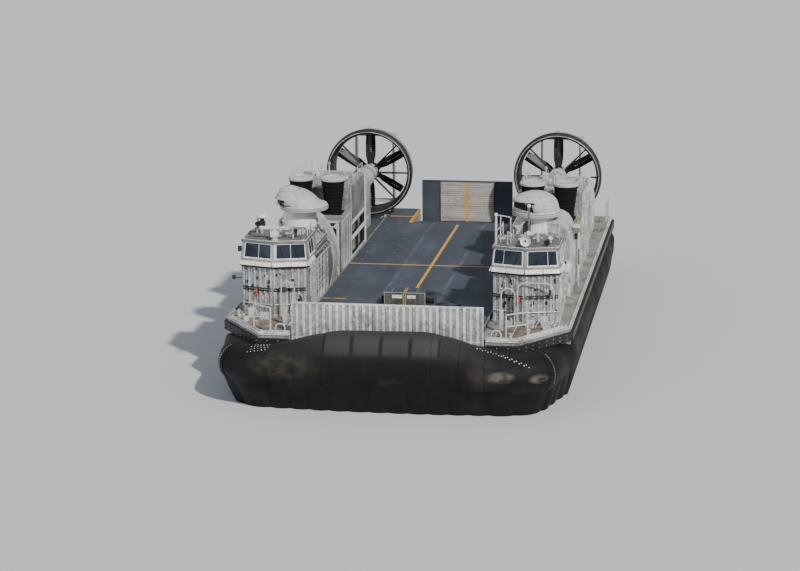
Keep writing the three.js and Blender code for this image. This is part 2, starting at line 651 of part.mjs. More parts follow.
// Engine bay: low front part below the stacks, tall part behind, open to the deck below
function engineModule(s) {
  const b = ENGINE_BAY;
  const w = b.wall;
  const profile = (inset) => [
    [b.foreY + inset, FLOOR - (inset ? 100 : 0)], [b.foreY + inset, b.lowZ - inset],
    [b.stepY + inset, b.lowZ - inset], [b.stepY + inset, b.highZ - inset],
    [b.aftY - inset, b.highZ - inset], [b.aftY - inset, FLOOR - (inset ? 100 : 0)],
  ];
  const [x0, x1] = spanX(s, SIDE.innerX, SIDE.outerX);
  const shell = prismX(profile(0), x0, x1).subtract(prismX(profile(w), x0 + w, x1 - w));
  const gallery = [[1350, 2900], [3080, 4600]].flatMap(([y0, y1]) => [[3120, 3800], [4020, 4520]]
    .map((z) => box(spanX(s, SIDE.innerX - 200, SIDE.innerX + w + 50), [y0, y1], z)));
  const hatch = [[-950, -150], [50, 850]].map((y) => box(
    spanX(s, SIDE.innerX - 200, SIDE.innerX + w + 50), y, [3150, 4700]));
  return cut(shell, [...gallery, ...hatch]);
}

function engineBlock(s) {
  const e = ENGINE;
  return box(spanX(s, e.x - e.half, e.x + e.half), [e.fromY, e.toY], [FLOOR, FLOOR + e.height]);
}

function stackPair(s) {
  const low = ENGINE_BAY.lowZ + GAP;
  const rise = STACK.topZ - low;
  const profile = [[0, 0], [STACK.lowR, 0], [STACK.topR - 25, rise - 190], [STACK.topR, rise - 150],
    [STACK.topR, rise - 60], [STACK.topR - 110, rise], [0, rise]];
  const stacks = [STACK.innerX, STACK.outerX].map((x) => turned(profile, 24, s * x, STACK.y, low));
  const base = box(spanX(s, STACK.innerX - 420, STACK.outerX + 420), [STACK.y - 450, STACK.y + 450],
    [low, low + 60]);
  return join([base, ...stacks]);
}

// Gearbox and shaft housing between the engine bay and the propeller
function aftModule(s) {
  const a = AFT;
  const profile = [[a.foreY, FLOOR], [a.foreY, a.foreZ], [7400, a.foreZ - 150], [9000, a.aftZ + 500],
    [a.aftY, a.aftZ], [a.aftY, FLOOR]];
  const [x0, x1] = spanX(s, a.innerX, a.outerX);
  const body = prismX(profile, x0, x1);
  const fairing = turnedY([[0, 5200], [HUB.fairingR, 5200], [HUB.fairingR, 9400],
    [HUB.bearingR - 40, HUB.bearingY - GAP], [0, HUB.bearingY - GAP]], 20, s * DUCT.x, DUCT.z);
  const cheek = box(spanX(s, DUCT.x - 300, a.innerX + 50), [5200, 9300], [FLOOR, DUCT.z]);
  return join([body, fairing, cheek]);
}

function duct(s) {
  const d = DUCT;
  const shroud = turnedY([
    [d.throatR, 11200], [d.throatR + 20, d.aftY], [1930, d.aftY], [2010, 11700], [2070, 11150],
    [d.lipR, 10900], [d.lipR - 15, 10700], [2030, d.foreY], [1910, d.foreY + 20], [d.throatR + 25, 10800],
    [d.throatR, 11200],
  ], 40, s * d.x, d.z);
  const bearing = turnedY([[0, HUB.bearingY], [HUB.bearingR, HUB.bearingY], [HUB.bearingR, HUB.propY - RUN],
    [150, HUB.propY - RUN], [150, HUB.propY - GAP], [0, HUB.propY - GAP]], 20, s * d.x, d.z);
  const struts = Array.from({ length: 8 }, (_, k) => {
    const a = k * Math.PI / 4;
    const at = (r) => [s * d.x + r * Math.cos(a), 10790, d.z + r * Math.sin(a)];
    return bar(at(HUB.bearingR - 60), at(d.throatR + 60), 38, 8);
  });
  const beams = [-1, 1].map((t) => box(
    [s * d.x - 1130, s * d.x + 1130], [d.aftY - 150, RUDDER.pivotY + 90],
    [d.z + t * (RUDDER.beamZ + 45) - 45, d.z + t * (RUDDER.beamZ + 45) + 45]));
  const foot = box([s * d.x - 800, s * d.x + 800], [10950, 11900], [FLOOR, d.z - 1880]);
  return join([shroud.add(foot), bearing, ...struts, ...beams]);
}

function propeller(s) {
  const hub = turnedY([[0, HUB.propY], [PROP.hubR, HUB.propY], [PROP.hubR, PROP.toY],
    [PROP.hubR * 0.75, PROP.toY + 170], [PROP.hubR * 0.3, PROP.toY + 260], [0, PROP.toY + 270]], 24, 0, 0);
  const rows = [
    // radius, chord, twist in degrees, thickness
    [PROP.hubR - 60, 400, 50, 75], [750, 560, 41, 50], [1250, 540, 33, 36], [PROP.tipR, 460, 26, 22],
  ];
  const y = (HUB.propY + PROP.toY) / 2;
  const rings = rows.map(([r, chord, twist, thick]) => {
    const t = twist * Math.PI / 180;
    return [[-0.5, 0], [-0.1, 0.5], [0.5, 0], [-0.1, -0.5]].map(([c, k]) => [
      c * chord * Math.cos(t) - k * thick * Math.sin(t),
      y + c * chord * Math.sin(t) + k * thick * Math.cos(t), r]);
  });
  const blade = loft(rings);
  const blades = Array.from({ length: PROP.blades }, (_, k) => blade.rotate([0, k * 360 / PROP.blades, 0]));
  return join([hub, ...blades]).translate([s * DUCT.x, 0, DUCT.z]);
}

function rudder(s, t) {
  const x = s * DUCT.x + t * RUDDER.offset;
  const plan = [
    [0, -RUDDER.nose], [38, -40], [42, 60], [14, RUDDER.chord - 60], [0, RUDDER.chord],
    [-14, RUDDER.chord - 60], [-42, 60], [-38, -40],
  ].map(([a, b]) => [x + a, RUDDER.pivotY + b]);
  const blade = prismZ(plan, DUCT.z - RUDDER.half, DUCT.z + RUDDER.half);
  const pin = turned([[0, -RUDDER.beamZ + GAP], [28, -RUDDER.beamZ + GAP], [28, RUDDER.beamZ - GAP],
    [0, RUDDER.beamZ - GAP]], 10, x, RUDDER.pivotY, DUCT.z);
  return join([blade, pin]);
}

// Handrails and hoops of the foredeck, on one toe rail
const PIPE = 30;
const THIN_PIPE = 23;

function hoop(s, [x0, y0], [x1, y1], height, turn) {
  const span = Math.hypot(x1 - x0, y1 - y0);
  const rise = [[0, 0], [0, height - turn]];
  for (let k = 1; k <= 3; k += 1) {
    const a = k * Math.PI / 6;
    rise.push([turn * (1 - Math.cos(a)), height - turn + turn * Math.sin(a)]);
  }
  const back = rise.map(([along, up]) => [span - along, up]).reverse();
  const at = ([along, up]) => (
    [s * (x0 + (x1 - x0) * along / span), y0 + (y1 - y0) * along / span, FLOOR + up]);
  return bars([...rise, ...back].map(at), PIPE, 6);
}

// Hoops on the foredeck: both feet, height over the deck, corner radius
const HOOPS = [
  [[4170, -12060], [4560, -12060], 400, 180], [[4760, -12060], [5560, -11540], 1050, 60],
  [[4270, -9560], [4820, -9560], 1530, 260],
];
const WIDE_HOOP = [[4930, -9560], [6400, -9560], 1780, 300];

// The wide hoop over the foredeck stands on port only
function foredeckRails(side) {
  const s = SIDES[side];
  const edge = [[4120, -12080], [5180, -12080], [6880, -9720], [6880, -9400]];
  const toe = join(edge.slice(1).map(([x, y], i) => {
    const [x0, y0] = edge[i];
    return bar([s * x0, y0, FLOOR + 40], [s * x, y, FLOOR + 40], 39, 6);
  }));
  const deckTie = (x, y) => bar([s * x, y + 7, FLOOR + 37], [s * x, -12070, FLOOR + 37], THIN_PIPE, 6);
  const list = side === 'port' ? [...HOOPS, WIDE_HOOP] : HOOPS;
  const hoops = list.map((values) => hoop(s, ...values));
  const knee = bar([s * 4762, -12055, FLOOR + 560], [s * 5558, -11545, FLOOR + 560], THIN_PIPE, 6);
  const ties = list.slice(2).map(([[x, y]]) => deckTie(x, y));
  return join([toe, ...hoops, knee, ...ties]);
}

const RADAR = { x: -5150, y: -9080, boxTop: 400, armHalf: 610 };

function radarBox() {
  const z = CABIN.topZ + CABIN.roof + GAP;
  return join([
    turned([[0, 0], [110, 0], [90, 170], [0, 170]], 14, RADAR.x, RADAR.y, z),
    box([RADAR.x - 150, RADAR.x + 150], [RADAR.y - 150, RADAR.y + 150], [z + 150, z + RADAR.boxTop]),
  ]);
}

function radarScanner() {
  const z = CABIN.topZ + CABIN.roof + RADAR.boxTop + 2 * GAP;
  return join([
    turned([[0, 0], [50, 0], [50, 80], [0, 80]], 12, RADAR.x, RADAR.y, z),
    box([RADAR.x - RADAR.armHalf, RADAR.x + RADAR.armHalf], [RADAR.y - 45, RADAR.y + 45], [z + 60, z + 170]),
  ]);
}

// Winch housing with its drum, standing on the hull in the deck's well
function winchBox() {
  const w = WINCH;
  const topZ = DECK.topZ + w.height;
  const body = prismX([[w.y, FLOOR], [w.y, topZ - 60], [w.y + 60, topZ],
    [w.y + w.depth, topZ], [w.y + w.depth, FLOOR]], -w.half, w.half);
  const drumY = w.y + w.depth / 2;
  const drumZ = DECK.topZ + 280;
  const drum = bar([w.half - 20, drumY, drumZ], [w.half + w.drum - 40, drumY, drumZ], 240, 18);
  const foot = box([w.half - 20, w.half + w.drum], [drumY - 220, drumY + 220], [FLOOR, DECK.topZ + 120]);
  return join([body, drum, foot]);
}

// Materials
const finish = (color, roughness, metalness) => (
  new THREE.MeshStandardMaterial({ color, roughness, metalness }));
const FINISH = {
  hull: finish(0x9a9c9c, 0.6, 0.4),
  bare: finish(0xb4b6b6, 0.5, 0.5),
  deck: finish(0x4a4f58, 0.85, 0.1),
  white: finish(0xe6e6e0, 0.5, 0.0),
  rubber: finish(0x17181a, 0.8, 0.0),
  black: finish(0x101112, 0.6, 0.1),
  glass: finish(0x18222c, 0.1, 0.0),
  paint: finish(0xa8abab, 0.55, 0.2),
};

const craft = new THREE.Group();

function add(name, body, material) {
  const mesh = new THREE.Mesh(toGeometry(body), FINISH[material]);
  mesh.name = name;
  craft.add(mesh);
}

function addHull() {
  add('hull', hull(), 'hull');
  add('cargo_deck', cargoDeck(), 'deck');
  add('bow_ramp', ramp(BOW_RAMP), 'bare');
  add('stern_ramp', ramp(STERN_RAMP), 'deck');
  add('winch_box', winchBox(), 'deck');
  for (const side of Object.keys(SIDES)) add(`fender_${side}`, fender(side), 'rubber');
}

function addSkirt() {
  const hullGrown = hullBody(GAP);
  const fenders = prismZ(hullOutline(FENDER.proud + 5), FENDER.lowZ - 5, FENDER.highZ + 5);
  const rampHalf = BOW_RAMP.half + SLOTS.side;
  const rampSpace = box([-rampHalf, rampHalf], [BOW_RAMP.y - 95, -11900], [SLOTS.bowFloorZ - 10, 4500]);
  const tools = [hullGrown, fenders, rampSpace];
  const grown = {};
  for (const [name, run] of Object.entries(RUNS)) {
    add(`skirt_bag_${name}`, bag(run, 0, tools), 'rubber');
    grown[name] = bag(run, GAP * 2, []);
  }
  for (const [name, run] of Object.entries(RUNS)) {
    add(`skirt_fingers_${name}`, fingers(run, [grown[name], hullGrown]), 'rubber');
  }
  add('skirt_keel', keelBag(hullGrown), 'rubber');
}

function addSide(side) {
  const s = SIDES[side];
  add(`foredeck_rails_${side}`, foredeckRails(side), 'bare');
  add(`cabin_shell_${side}`, cabinShell(s), 'bare');
  add(`cabin_roof_${side}`, cabinRoof(side), 'paint');
  add(`cabin_glass_${side}`, cabinGlass(s), 'glass');
  add(`cabin_door_${side}`, cabinDoor(s), 'paint');
  add(`fan_module_${side}`, fanModule(side), 'bare');
  add(`thruster_nozzle_${side}`, thrusterNozzle(side), 'paint');
  add(`engine_module_${side}`, engineModule(s), 'bare');
  add(`engine_${side}`, engineBlock(s), 'paint');
  add(`stacks_${side}`, stackPair(s), 'black');
  add(`aft_module_${side}`, aftModule(s), 'bare');
  add(`duct_${side}`, duct(s), 'black');
  add(`propeller_${side}`, propeller(s), 'black');
  add(`rudder_${side}_inner`, rudder(s, -s), 'bare');
  add(`rudder_${side}_outer`, rudder(s, s), 'bare');
}

addHull();
addSkirt();
addSide('starboard');
addSide('port');
add('radar_box', radarBox(), 'white');
add('radar_scanner', radarScanner(), 'white');

export default craft;
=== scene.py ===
# Looks of an air-cushion landing craft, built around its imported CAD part. Metres, +Z up,
# bow towards -Y, starboard at -X. The origin is at the middle of the footprint, at the waterline.
import math
import random

import bmesh
import bpy
from mathutils import Matrix, Vector, noise


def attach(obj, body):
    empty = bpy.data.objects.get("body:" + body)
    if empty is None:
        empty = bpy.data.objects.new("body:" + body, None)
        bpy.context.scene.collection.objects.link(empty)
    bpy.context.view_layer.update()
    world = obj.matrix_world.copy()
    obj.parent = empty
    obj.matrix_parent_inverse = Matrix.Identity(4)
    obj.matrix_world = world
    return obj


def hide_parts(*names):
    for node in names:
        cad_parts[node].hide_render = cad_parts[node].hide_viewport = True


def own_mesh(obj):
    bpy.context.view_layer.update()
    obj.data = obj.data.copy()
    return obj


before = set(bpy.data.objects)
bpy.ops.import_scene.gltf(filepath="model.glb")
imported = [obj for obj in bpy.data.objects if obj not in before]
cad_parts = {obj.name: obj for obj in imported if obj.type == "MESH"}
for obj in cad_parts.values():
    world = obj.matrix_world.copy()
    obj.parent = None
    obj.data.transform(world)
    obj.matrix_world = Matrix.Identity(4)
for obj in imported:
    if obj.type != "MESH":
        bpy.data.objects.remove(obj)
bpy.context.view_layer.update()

# Driving dimensions, the same as the CAD part's
SIDES = {"starboard": -1, "port": 1}
HULL = {"bow_half": 5.25, "bow_y": -12.2, "shoulder_y": -9.6, "half": 7.1, "stern_y": 12.6, "deck_z": 2.85}
DECK = {"top_z": 3.0, "half": 3.745, "fore_y": -10.6}
BOW_RAMP = {"half": 3.88, "face_y": -12.185, "low_z": 2.63, "top_z": 4.18}
STERN_RAMP = {"half": 2.24, "face_y": 12.43, "low_z": 2.4, "top_z": 4.46}
SKIRT = {"core": 1.2, "bag_low_z": 0.8, "bulge": 0.25, "pitch": 0.8, "split_y": -8.5, "stern_y": 11.3}
SIDE = {"inner_x": 3.8, "outer_x": 6.62}
CABIN = {"nose_y": -9.5, "front_y": -9.1, "aft_y": -6.9, "sill_z": 4.99, "lean": 0.09, "roof_z": 6.02}
DOOR = {"y": -8.32, "width": 0.73, "low_z": 3.12, "high_z": 4.9, "face_x": 3.809}
FAN = {"fore_y": -6.85, "drum_y": -4.4, "band_y": -3.45, "aft_y": -2.0, "box": (3.86, 6.47), "top_z": 5.35}
THRUSTER = {"x": 5.12, "y": -3.9, "base_z": 6.3, "neck_z": 5.36}
DRUM_INNER = (
    # distance from the middle line, z
    (3.96, 2.85), (3.86, 3.3), (3.805, 3.7), (3.805, 4.05), (3.9, 4.5), (4.05, 4.9), (4.25, 5.26),
    (4.45, 5.56),
)
DRUM_OUTER = {
    "starboard": (
        (4.62, 5.7), (5.6, 5.7), (5.8, 5.56), (6.0, 5.35), (6.25, 4.95), (6.42, 4.5), (6.5, 4.0), (6.5, 2.85),
    ),
    "port": (
        (4.64, 5.76), (5.0, 5.95), (5.5, 6.08), (5.85, 6.11), (6.05, 6.08), (6.25, 5.96), (6.41, 5.74),
        (6.52, 5.4), (6.57, 5.0), (6.57, 2.85),
    ),
}
ENGINE_BAY = {"fore_y": -1.15, "step_y": 1.05, "low_z": 5.2, "high_z": 6.25}
STACK = {"y": 0.53, "xs": (4.48, 5.94), "top_z": 6.85}
AFT = {"inner_x": 4.75, "outer_x": 6.45, "fore_y": 4.9, "aft_y": 9.9, "fore_z": 5.95, "aft_z": 4.5}
DUCT = {"x": 4.6, "z": 5.12}
PROP = {"hub_r": 0.38, "fore_y": 11.0, "aft_y": 11.56}
RUDDER = {"offset": 0.93, "y": 12.39, "half": 1.56}
WINCH = {"fore_y": -7.6, "aft_y": -6.75, "half": 0.85, "top_z": 3.62, "drum_y": -7.175, "drum_z": 3.28}
RADAR = {"x": -5.15, "y": -9.08}
MID_X = (SIDE["inner_x"] + SIDE["outer_x"]) / 2
FLOOR = HULL["deck_z"]


# Materials
class Look:
    """A procedural material. Its textures lie in the part's frame at rest and move with each piece."""

    def __init__(self, name, rough=0.6, metal=0.0):
        self.material = bpy.data.materials.new(name)
        self.material.use_nodes = True
        self.tree = self.material.node_tree
        self.shader = self.tree.nodes["Principled BSDF"]
        self.shader.inputs["Roughness"].default_value = rough
        self.shader.inputs["Metallic"].default_value = metal
        self.place = self.tree.nodes.new("ShaderNodeTexCoord").outputs["Object"]
        self.xyz = self.node("SeparateXYZ", self.place).node.outputs

    def node(self, kind, *values, **settings):
        made = self.tree.nodes.new("ShaderNode" + kind)
        for key, value in settings.items():
            setattr(made, key, value)
        for socket, value in zip(made.inputs, values):
            if isinstance(value, bpy.types.NodeSocket):
                self.tree.links.new(value, socket)
            elif value is not None:
                socket.default_value = value
        return made.outputs[0]

    def math(self, operation, *values):
        return self.node("Math", *values, operation=operation)

    def noise(self, scale, detail=4.0, stretch=(1, 1, 1), offset=0.0):
        mapped = self.node("Mapping", self.place, (offset, offset, offset), (0, 0, 0), stretch)
        return self.node("TexNoise", mapped, None, scale, detail)

    def ramp(self, value, stops):
        made = self.tree.nodes.new("ShaderNodeValToRGB")
        self.tree.links.new(value, made.inputs[0])
        elements = made.color_ramp.elements
        while len(elements) < len(stops):
            elements.new(0.5)
        for element, (position, colour) in zip(elements, stops):
            element.position = position
            element.color = (*colour, 1)
        return made.outputs[0]

    def mask(self, value, low, high):
        """0 up to low and 1 from high on."""
        return self.ramp(value, [(low, (0, 0, 0)), (high, (1, 1, 1))])

    def spots(self, low, high, *noise):
        """Patches of noise, 0 up to low and 1 from high on."""
        return self.mask(self.noise(*noise), low, high)

    def over(self, mask, share, under, colour):
        """A share of the colour over what lies below it, inside the mask."""
        return self.mix(self.math("MULTIPLY", mask, share), under, colour)

    def mix(self, share, first, second):
        pair = [(*c, 1) if isinstance(c, tuple) else c for c in (first, second)]
        return self.node("MixRGB", share, *pair)

    def band(self, axis, middle, half):
        return self.math("COMPARE", self.xyz[axis], middle, half)

    def area(self, x, y):
        """A rectangle of the deck, x and y each as (middle, half width)."""
        return self.math("MULTIPLY", self.band(0, *x), self.band(1, *y))

    def colour(self, source):
        socket = self.shader.inputs["Base Color"]
        if isinstance(source, tuple):
            socket.default_value = (*source, 1)
        else:
            self.tree.links.new(source, socket)

    def rough(self, source, *stops):
        """Roughness at positions of the source."""
        grey = self.ramp(source, [(position, (value,) * 3) for position, value in stops])
        self.tree.links.new(grey, self.shader.inputs["Roughness"])

    def bump(self, height, strength, distance):
        made = self.tree.nodes.new("ShaderNodeBump")
        made.inputs["Strength"].default_value = strength
        made.inputs["Distance"].default_value = distance
        self.tree.links.new(height, made.inputs["Height"])
        self.tree.links.new(made.outputs[0], self.shader.inputs["Normal"])


def dark(colour, share):
    return tuple(c * share for c in colour)


def plate_look(name, base, stain, rough=0.5, metal=0.35, stain_share=0.55):
    """Unpainted plate: mottled, with run-down streaks and brown stains."""
    look = Look(name, rough, metal)
    patches = look.noise(0.9, 5)
    coat = look.ramp(patches, [(0.3, dark(base, 0.5)), (0.48, base), (0.7, dark(base, 1.35))])
    coat = look.over(look.spots(0.52, 0.72, 3.2, 5, (1, 1, 0.09), 4.0), 0.6, coat, dark(base, 0.4))
    coat = look.over(look.spots(0.54, 0.62, 9, 3, (1, 1, 0.7), 9.0), 0.55, coat, dark(base, 1.7))
    coat = look.over(look.spots(0.58, 0.66, 7, 3, (1, 1, 0.6), 13.0), 0.5, coat, dark(base, 0.3))
    look.colour(look.over(look.spots(0.55, 0.74, 0.55, 6, (1, 1, 0.5), 17.0), stain_share, coat, stain))
    look.rough(patches, (0.3, rough + 0.18), (0.75, rough - 0.12))
    look.bump(look.noise(5, 4), 0.25, 0.02)
    return look.material


def paint_look(name, base, rough=0.5, dirt=(0.16, 0.13, 0.10), dirt_share=0.35, shine=0.5):
    """Satin paint with a little dirt in the hollows and run-down marks."""
    look = Look(name, rough)
    look.shader.inputs["Specular IOR Level"].default_value = shine
    shade = look.ramp(look.noise(1.3, 4), [(0.3, dark(base, 0.86)), (0.7, dark(base, 1.04))])
    look.colour(look.over(look.spots(0.5, 0.78, 2.4, 6, (1, 1, 0.25), 2.0), dirt_share, shade, dirt))
    look.bump(look.noise(14, 3), 0.08, 0.01)
    return look.material


DECK_LINES = (
    # x and y of a painted line, each as (middle, half width)
    ((0.0, 0.065), (1.55, 7.4)), ((0.0, 3.7), (0.19, 0.06)), ((-3.2, 0.5), (-6.5, 0.05)),
    ((-3.1, 0.3), (-10.1, 0.06)), ((-3.0, 0.55), (10.67, 0.07)), ((3.0, 0.55), (10.67, 0.07)),
    ((-2.38, 0.05), (10.9, 1.6)), ((2.28, 0.05), (10.9, 1.6)), ((0.0, 0.065), (-11.2, 0.7)),
)
WHEEL_LANE = (1.24, 0.09)


def deck_look():
    """Dark non-slip coating with faded wheel lanes, worn patches and painted lines."""
    look = Look("deck_coating", 0.8)
    base = (0.052, 0.062, 0.086)
    wear = look.noise(0.7, 6, (1, 0.35, 1))
    coat = look.ramp(wear, [(0.3, dark(base, 0.75)), (0.55, base), (0.8, dark(base, 1.7))])
    lane_x, half = WHEEL_LANE
    lanes = look.math("ADD", look.band(0, -lane_x, half), look.band(0, lane_x, half))
    faded = look.math("MULTIPLY", lanes, look.spots(0.36, 0.62, 2.6, 5, (1, 0.5, 1), 11.0))
    coat = look.over(faded, 0.42, coat, (0.13, 0.16, 0.23))
    seams = look.math("LESS_THAN", look.math("FRACT", look.math("MULTIPLY", look.xyz[1], 0.42)), 0.012)
    coat = look.over(seams, 0.35, coat, dark(base, 2.2))
    yellow = 0.0
    for x, y in DECK_LINES:
        yellow = look.math("MAXIMUM", yellow, look.area(x, y))
    worn = look.math("MULTIPLY", yellow, look.spots(0.28, 0.42, 9, 5, (1, 1, 1), 5.0))
    look.colour(look.mix(worn, coat, (0.62, 0.34, 0.045)))
    look.rough(wear, (0.3, 0.86), (0.8, 0.62))
    look.bump(look.noise(60, 2), 0.35, 0.006)
    return look.material


# Light patches on the bow bag: partly dust, partly painted highlight where the sun falls.
DUST_AND_HIGHLIGHT_PATCHES = (
    # centre, reach, share, colour
    ((4.75, -13.77, 1.78), 0.62, 0.62, (0.22, 0.2, 0.17)),
    ((6.2, -13.25, 1.66), 0.52, 0.5, (0.22, 0.2, 0.17)),
    ((-3.9, -13.8, 2.0), 1.6, 0.5, (0.07, 0.062, 0.045)),
)
PANEL_PITCH = 1.17


def rubber_look(name, dust, share, bow=False):
    """Black coated fabric with dusty scuffs, run-down grime, fine creases and a greyer crown that is partly
    dust and partly painted highlight.
    """
    look = Look(name, 0.7)
    look.shader.inputs["Specular IOR Level"].default_value = 0.22
    runs = look.spots(0.52, 0.8, 1.6, 5, (1, 1, 0.12), 8.0)
    coat = look.over(runs, 0.3, (0.006, 0.006, 0.007), dark(dust, 0.4))
    coat = look.over(look.spots(0.56, 0.78, 0.42, 6, (1, 1, 1.4), 3.0), share, coat, dust)
    # Lighter towards the top by height alone: partly dust, partly painted highlight where light falls on the
    # crown.
    crown = look.mask(look.math("MULTIPLY", look.xyz[2], 0.25), 0.58, 0.8)
    coat = look.over(crown, 0.75, coat, (0.042, 0.041, 0.041))
    if bow:
        coat = bow_dust_and_highlights(look, bow_panels(look, coat))
    look.colour(coat)
    look.rough(look.noise(0.8, 5), (0.3, 0.78), (0.7, 0.5))
    creases = look.math("ADD", look.noise(2.2, 6, (1, 1, 0.6)), look.noise(14, 3, (1, 1, 0.5)))
    look.bump(creases, 0.35, 0.03)
    return look.material


def bow_panels(look, under):
    """Greyer rounded panels high on the bow bag, with dark lines of painted crease shade in the folds between
    them.
    """
    inside = look.mask(look.math("PINGPONG", look.xyz[0], PANEL_PITCH / 2), 0.05, 0.1)
    off_middle = look.math("ABSOLUTE", look.math("SUBTRACT", look.xyz[2], 2.86))
    level = look.math("SUBTRACT", 1.0, look.mask(off_middle, 0.2, 0.42))
    here = look.math("MULTIPLY", look.math("LESS_THAN", look.xyz[1], -13.2), look.band(0, 0.0, 2.35))
    row = look.math("MULTIPLY", level, here)
    # Near-black lines at the panels' folds: painted crease shade.
    shade_gap = look.math("SUBTRACT", 1.0, inside)
    greyer = look.over(look.math("MULTIPLY", inside, row), 0.3, under, (0.075, 0.073, 0.07))
    return look.over(look.math("MULTIPLY", shade_gap, row), 0.8, greyer, (0.008, 0.008, 0.009))


def bow_dust_and_highlights(look, under):
    """Light patches at fixed places on the bow bag, partly dry dust and partly painted highlight, broken up
    by noise.
    """
    flat = 2.4
    broken = look.spots(0.3, 0.66, 2.6, 6, (1, 1, 1.6), 21.0)
    oval = look.node("Mapping", look.place, (0, 0, 0), (0, 0, 0), (1, 1, flat))
    for (x, y, z), reach, share, colour in DUST_AND_HIGHLIGHT_PATCHES:
        away = look.node("VectorMath", oval, (x, y, z * flat), operation="DISTANCE").node.outputs["Value"]
        near = look.math("SUBTRACT", 1.0, look.mask(look.math("DIVIDE", away, reach * 2), 0.25, 0.5))
        under = look.over(look.math("MULTIPLY", near, broken), share, under, colour)
    return under


def glass_look():
    look = Look("window_glass", 0.08)
    look.colour(look.ramp(look.noise(0.9, 2), [(0.3, (0.008, 0.013, 0.022)), (0.7, (0.024, 0.037, 0.056))]))
    look.shader.inputs["Coat Weight"].default_value = 0.15
    return look.material


def slat_look():
    """Worn tread boards of the stern ramp."""
    look = Look("tread_boards", 0.8)
    base = (0.36, 0.33, 0.29)
    wear = look.noise(1.4, 6, (0.4, 1, 2.5), 6.0)
    look.colour(look.ramp(wear, [(0.3, (0.20, 0.18, 0.155)), (0.55, base), (0.8, (0.47, 0.44, 0.40))]))
    look.bump(look.noise(9, 4, (0.3, 1, 2)), 0.3, 0.008)
    return look.material


def duct_skin_look():
    """Light outer skin of the ducts with a dirty, slightly pink edge towards the lip."""
    look = Look("duct_skin", 0.55, 0.15)
    shade = look.ramp(look.noise(1.1, 5), [(0.3, (0.20, 0.20, 0.20)), (0.7, (0.38, 0.38, 0.38))])
    look.colour(look.over(look.spots(0.5, 0.72, 2.8, 5, (1, 0.3, 1), 7.0), 0.5, shade, (0.17, 0.12, 0.115)))
    look.bump(look.noise(6, 3), 0.15, 0.01)
    return look.material


LOOKS = {
    "plate": plate_look("bare_plate", (0.46, 0.465, 0.46), (0.20, 0.17, 0.13)),
    "hull": plate_look("hull_plate", (0.28, 0.272, 0.26), (0.17, 0.13, 0.095), 0.6, 0.25, 0.6),
    "ramp": plate_look("ramp_plate", (0.36, 0.37, 0.37), (0.24, 0.23, 0.20), 0.45, 0.4, 0.4),
    "rib": plate_look("ramp_ribs", (0.62, 0.63, 0.63), (0.40, 0.38, 0.34), 0.5, 0.15, 0.35),
    "trim": plate_look("trim_metal", (0.56, 0.57, 0.56), (0.30, 0.27, 0.22), 0.45, 0.3, 0.35),
    "wall": plate_look("wall_plate", (0.30, 0.305, 0.305), (0.20, 0.17, 0.13), 0.5, 0.35),
    "olive": plate_look("olive_plate", (0.085, 0.088, 0.075), (0.06, 0.05, 0.035), 0.65, 0.1),
    "moss": paint_look("moss_paint", (0.30, 0.28, 0.09), 0.6, (0.2, 0.16, 0.08), 0.5),
    "panel": plate_look("panel_plate", (0.20, 0.205, 0.205), (0.11, 0.095, 0.075), 0.6, 0.2),
    "floor": plate_look("foredeck_floor", (0.17, 0.135, 0.11), (0.09, 0.065, 0.05), 0.75, 0.0, 0.6),
    "grey": paint_look("grey_paint", (0.50, 0.505, 0.51), 0.45, (0.30, 0.29, 0.27), 0.35),
    "rail": paint_look("rail_paint", (0.58, 0.575, 0.55), 0.45, (0.24, 0.20, 0.15), 0.3),
    "roof": paint_look("roof_paint", (0.14, 0.145, 0.15), 0.65, (0.36, 0.35, 0.33), 0.5),
    "white": paint_look("white_paint", (0.78, 0.77, 0.72), 0.42, (0.24, 0.19, 0.12), 0.22),
    "engine": paint_look("engine_paint", (0.10, 0.11, 0.115), 0.6),
    # A lighter copy of the grey paint: painted sunlight on the necks, also used on the gallery rails.
    "neck": paint_look("neck_paint_painted_light", (0.78, 0.78, 0.77), 0.38, (0.36, 0.34, 0.31), 0.25),
    "black": paint_look("black_paint", (0.012, 0.012, 0.013), 0.6, (0.045, 0.04, 0.036), 0.3),
    "cover": paint_look("black_cover", (0.004, 0.004, 0.005), 0.8, (0.018, 0.016, 0.015), 0.4, 0.2),
    "blade": paint_look("blade_black", (0.014, 0.014, 0.015), 0.5, (0.05, 0.045, 0.04), 0.5),
    "yellow": paint_look("yellow_paint", (0.64, 0.36, 0.05), 0.55, (0.18, 0.11, 0.05), 0.4),
    "red": paint_look("red_paint", (0.58, 0.045, 0.022), 0.5, (0.2, 0.04, 0.03), 0.3),
    "deck": deck_look(),
    "bag": rubber_look("skirt_fabric", (0.075, 0.061, 0.047), 0.5, bow=True),
    "finger": rubber_look("finger_fabric", (0.05, 0.042, 0.034), 0.4),
    "glass": glass_look(),
    "slats": slat_look(),
    "duct": duct_skin_look(),
}


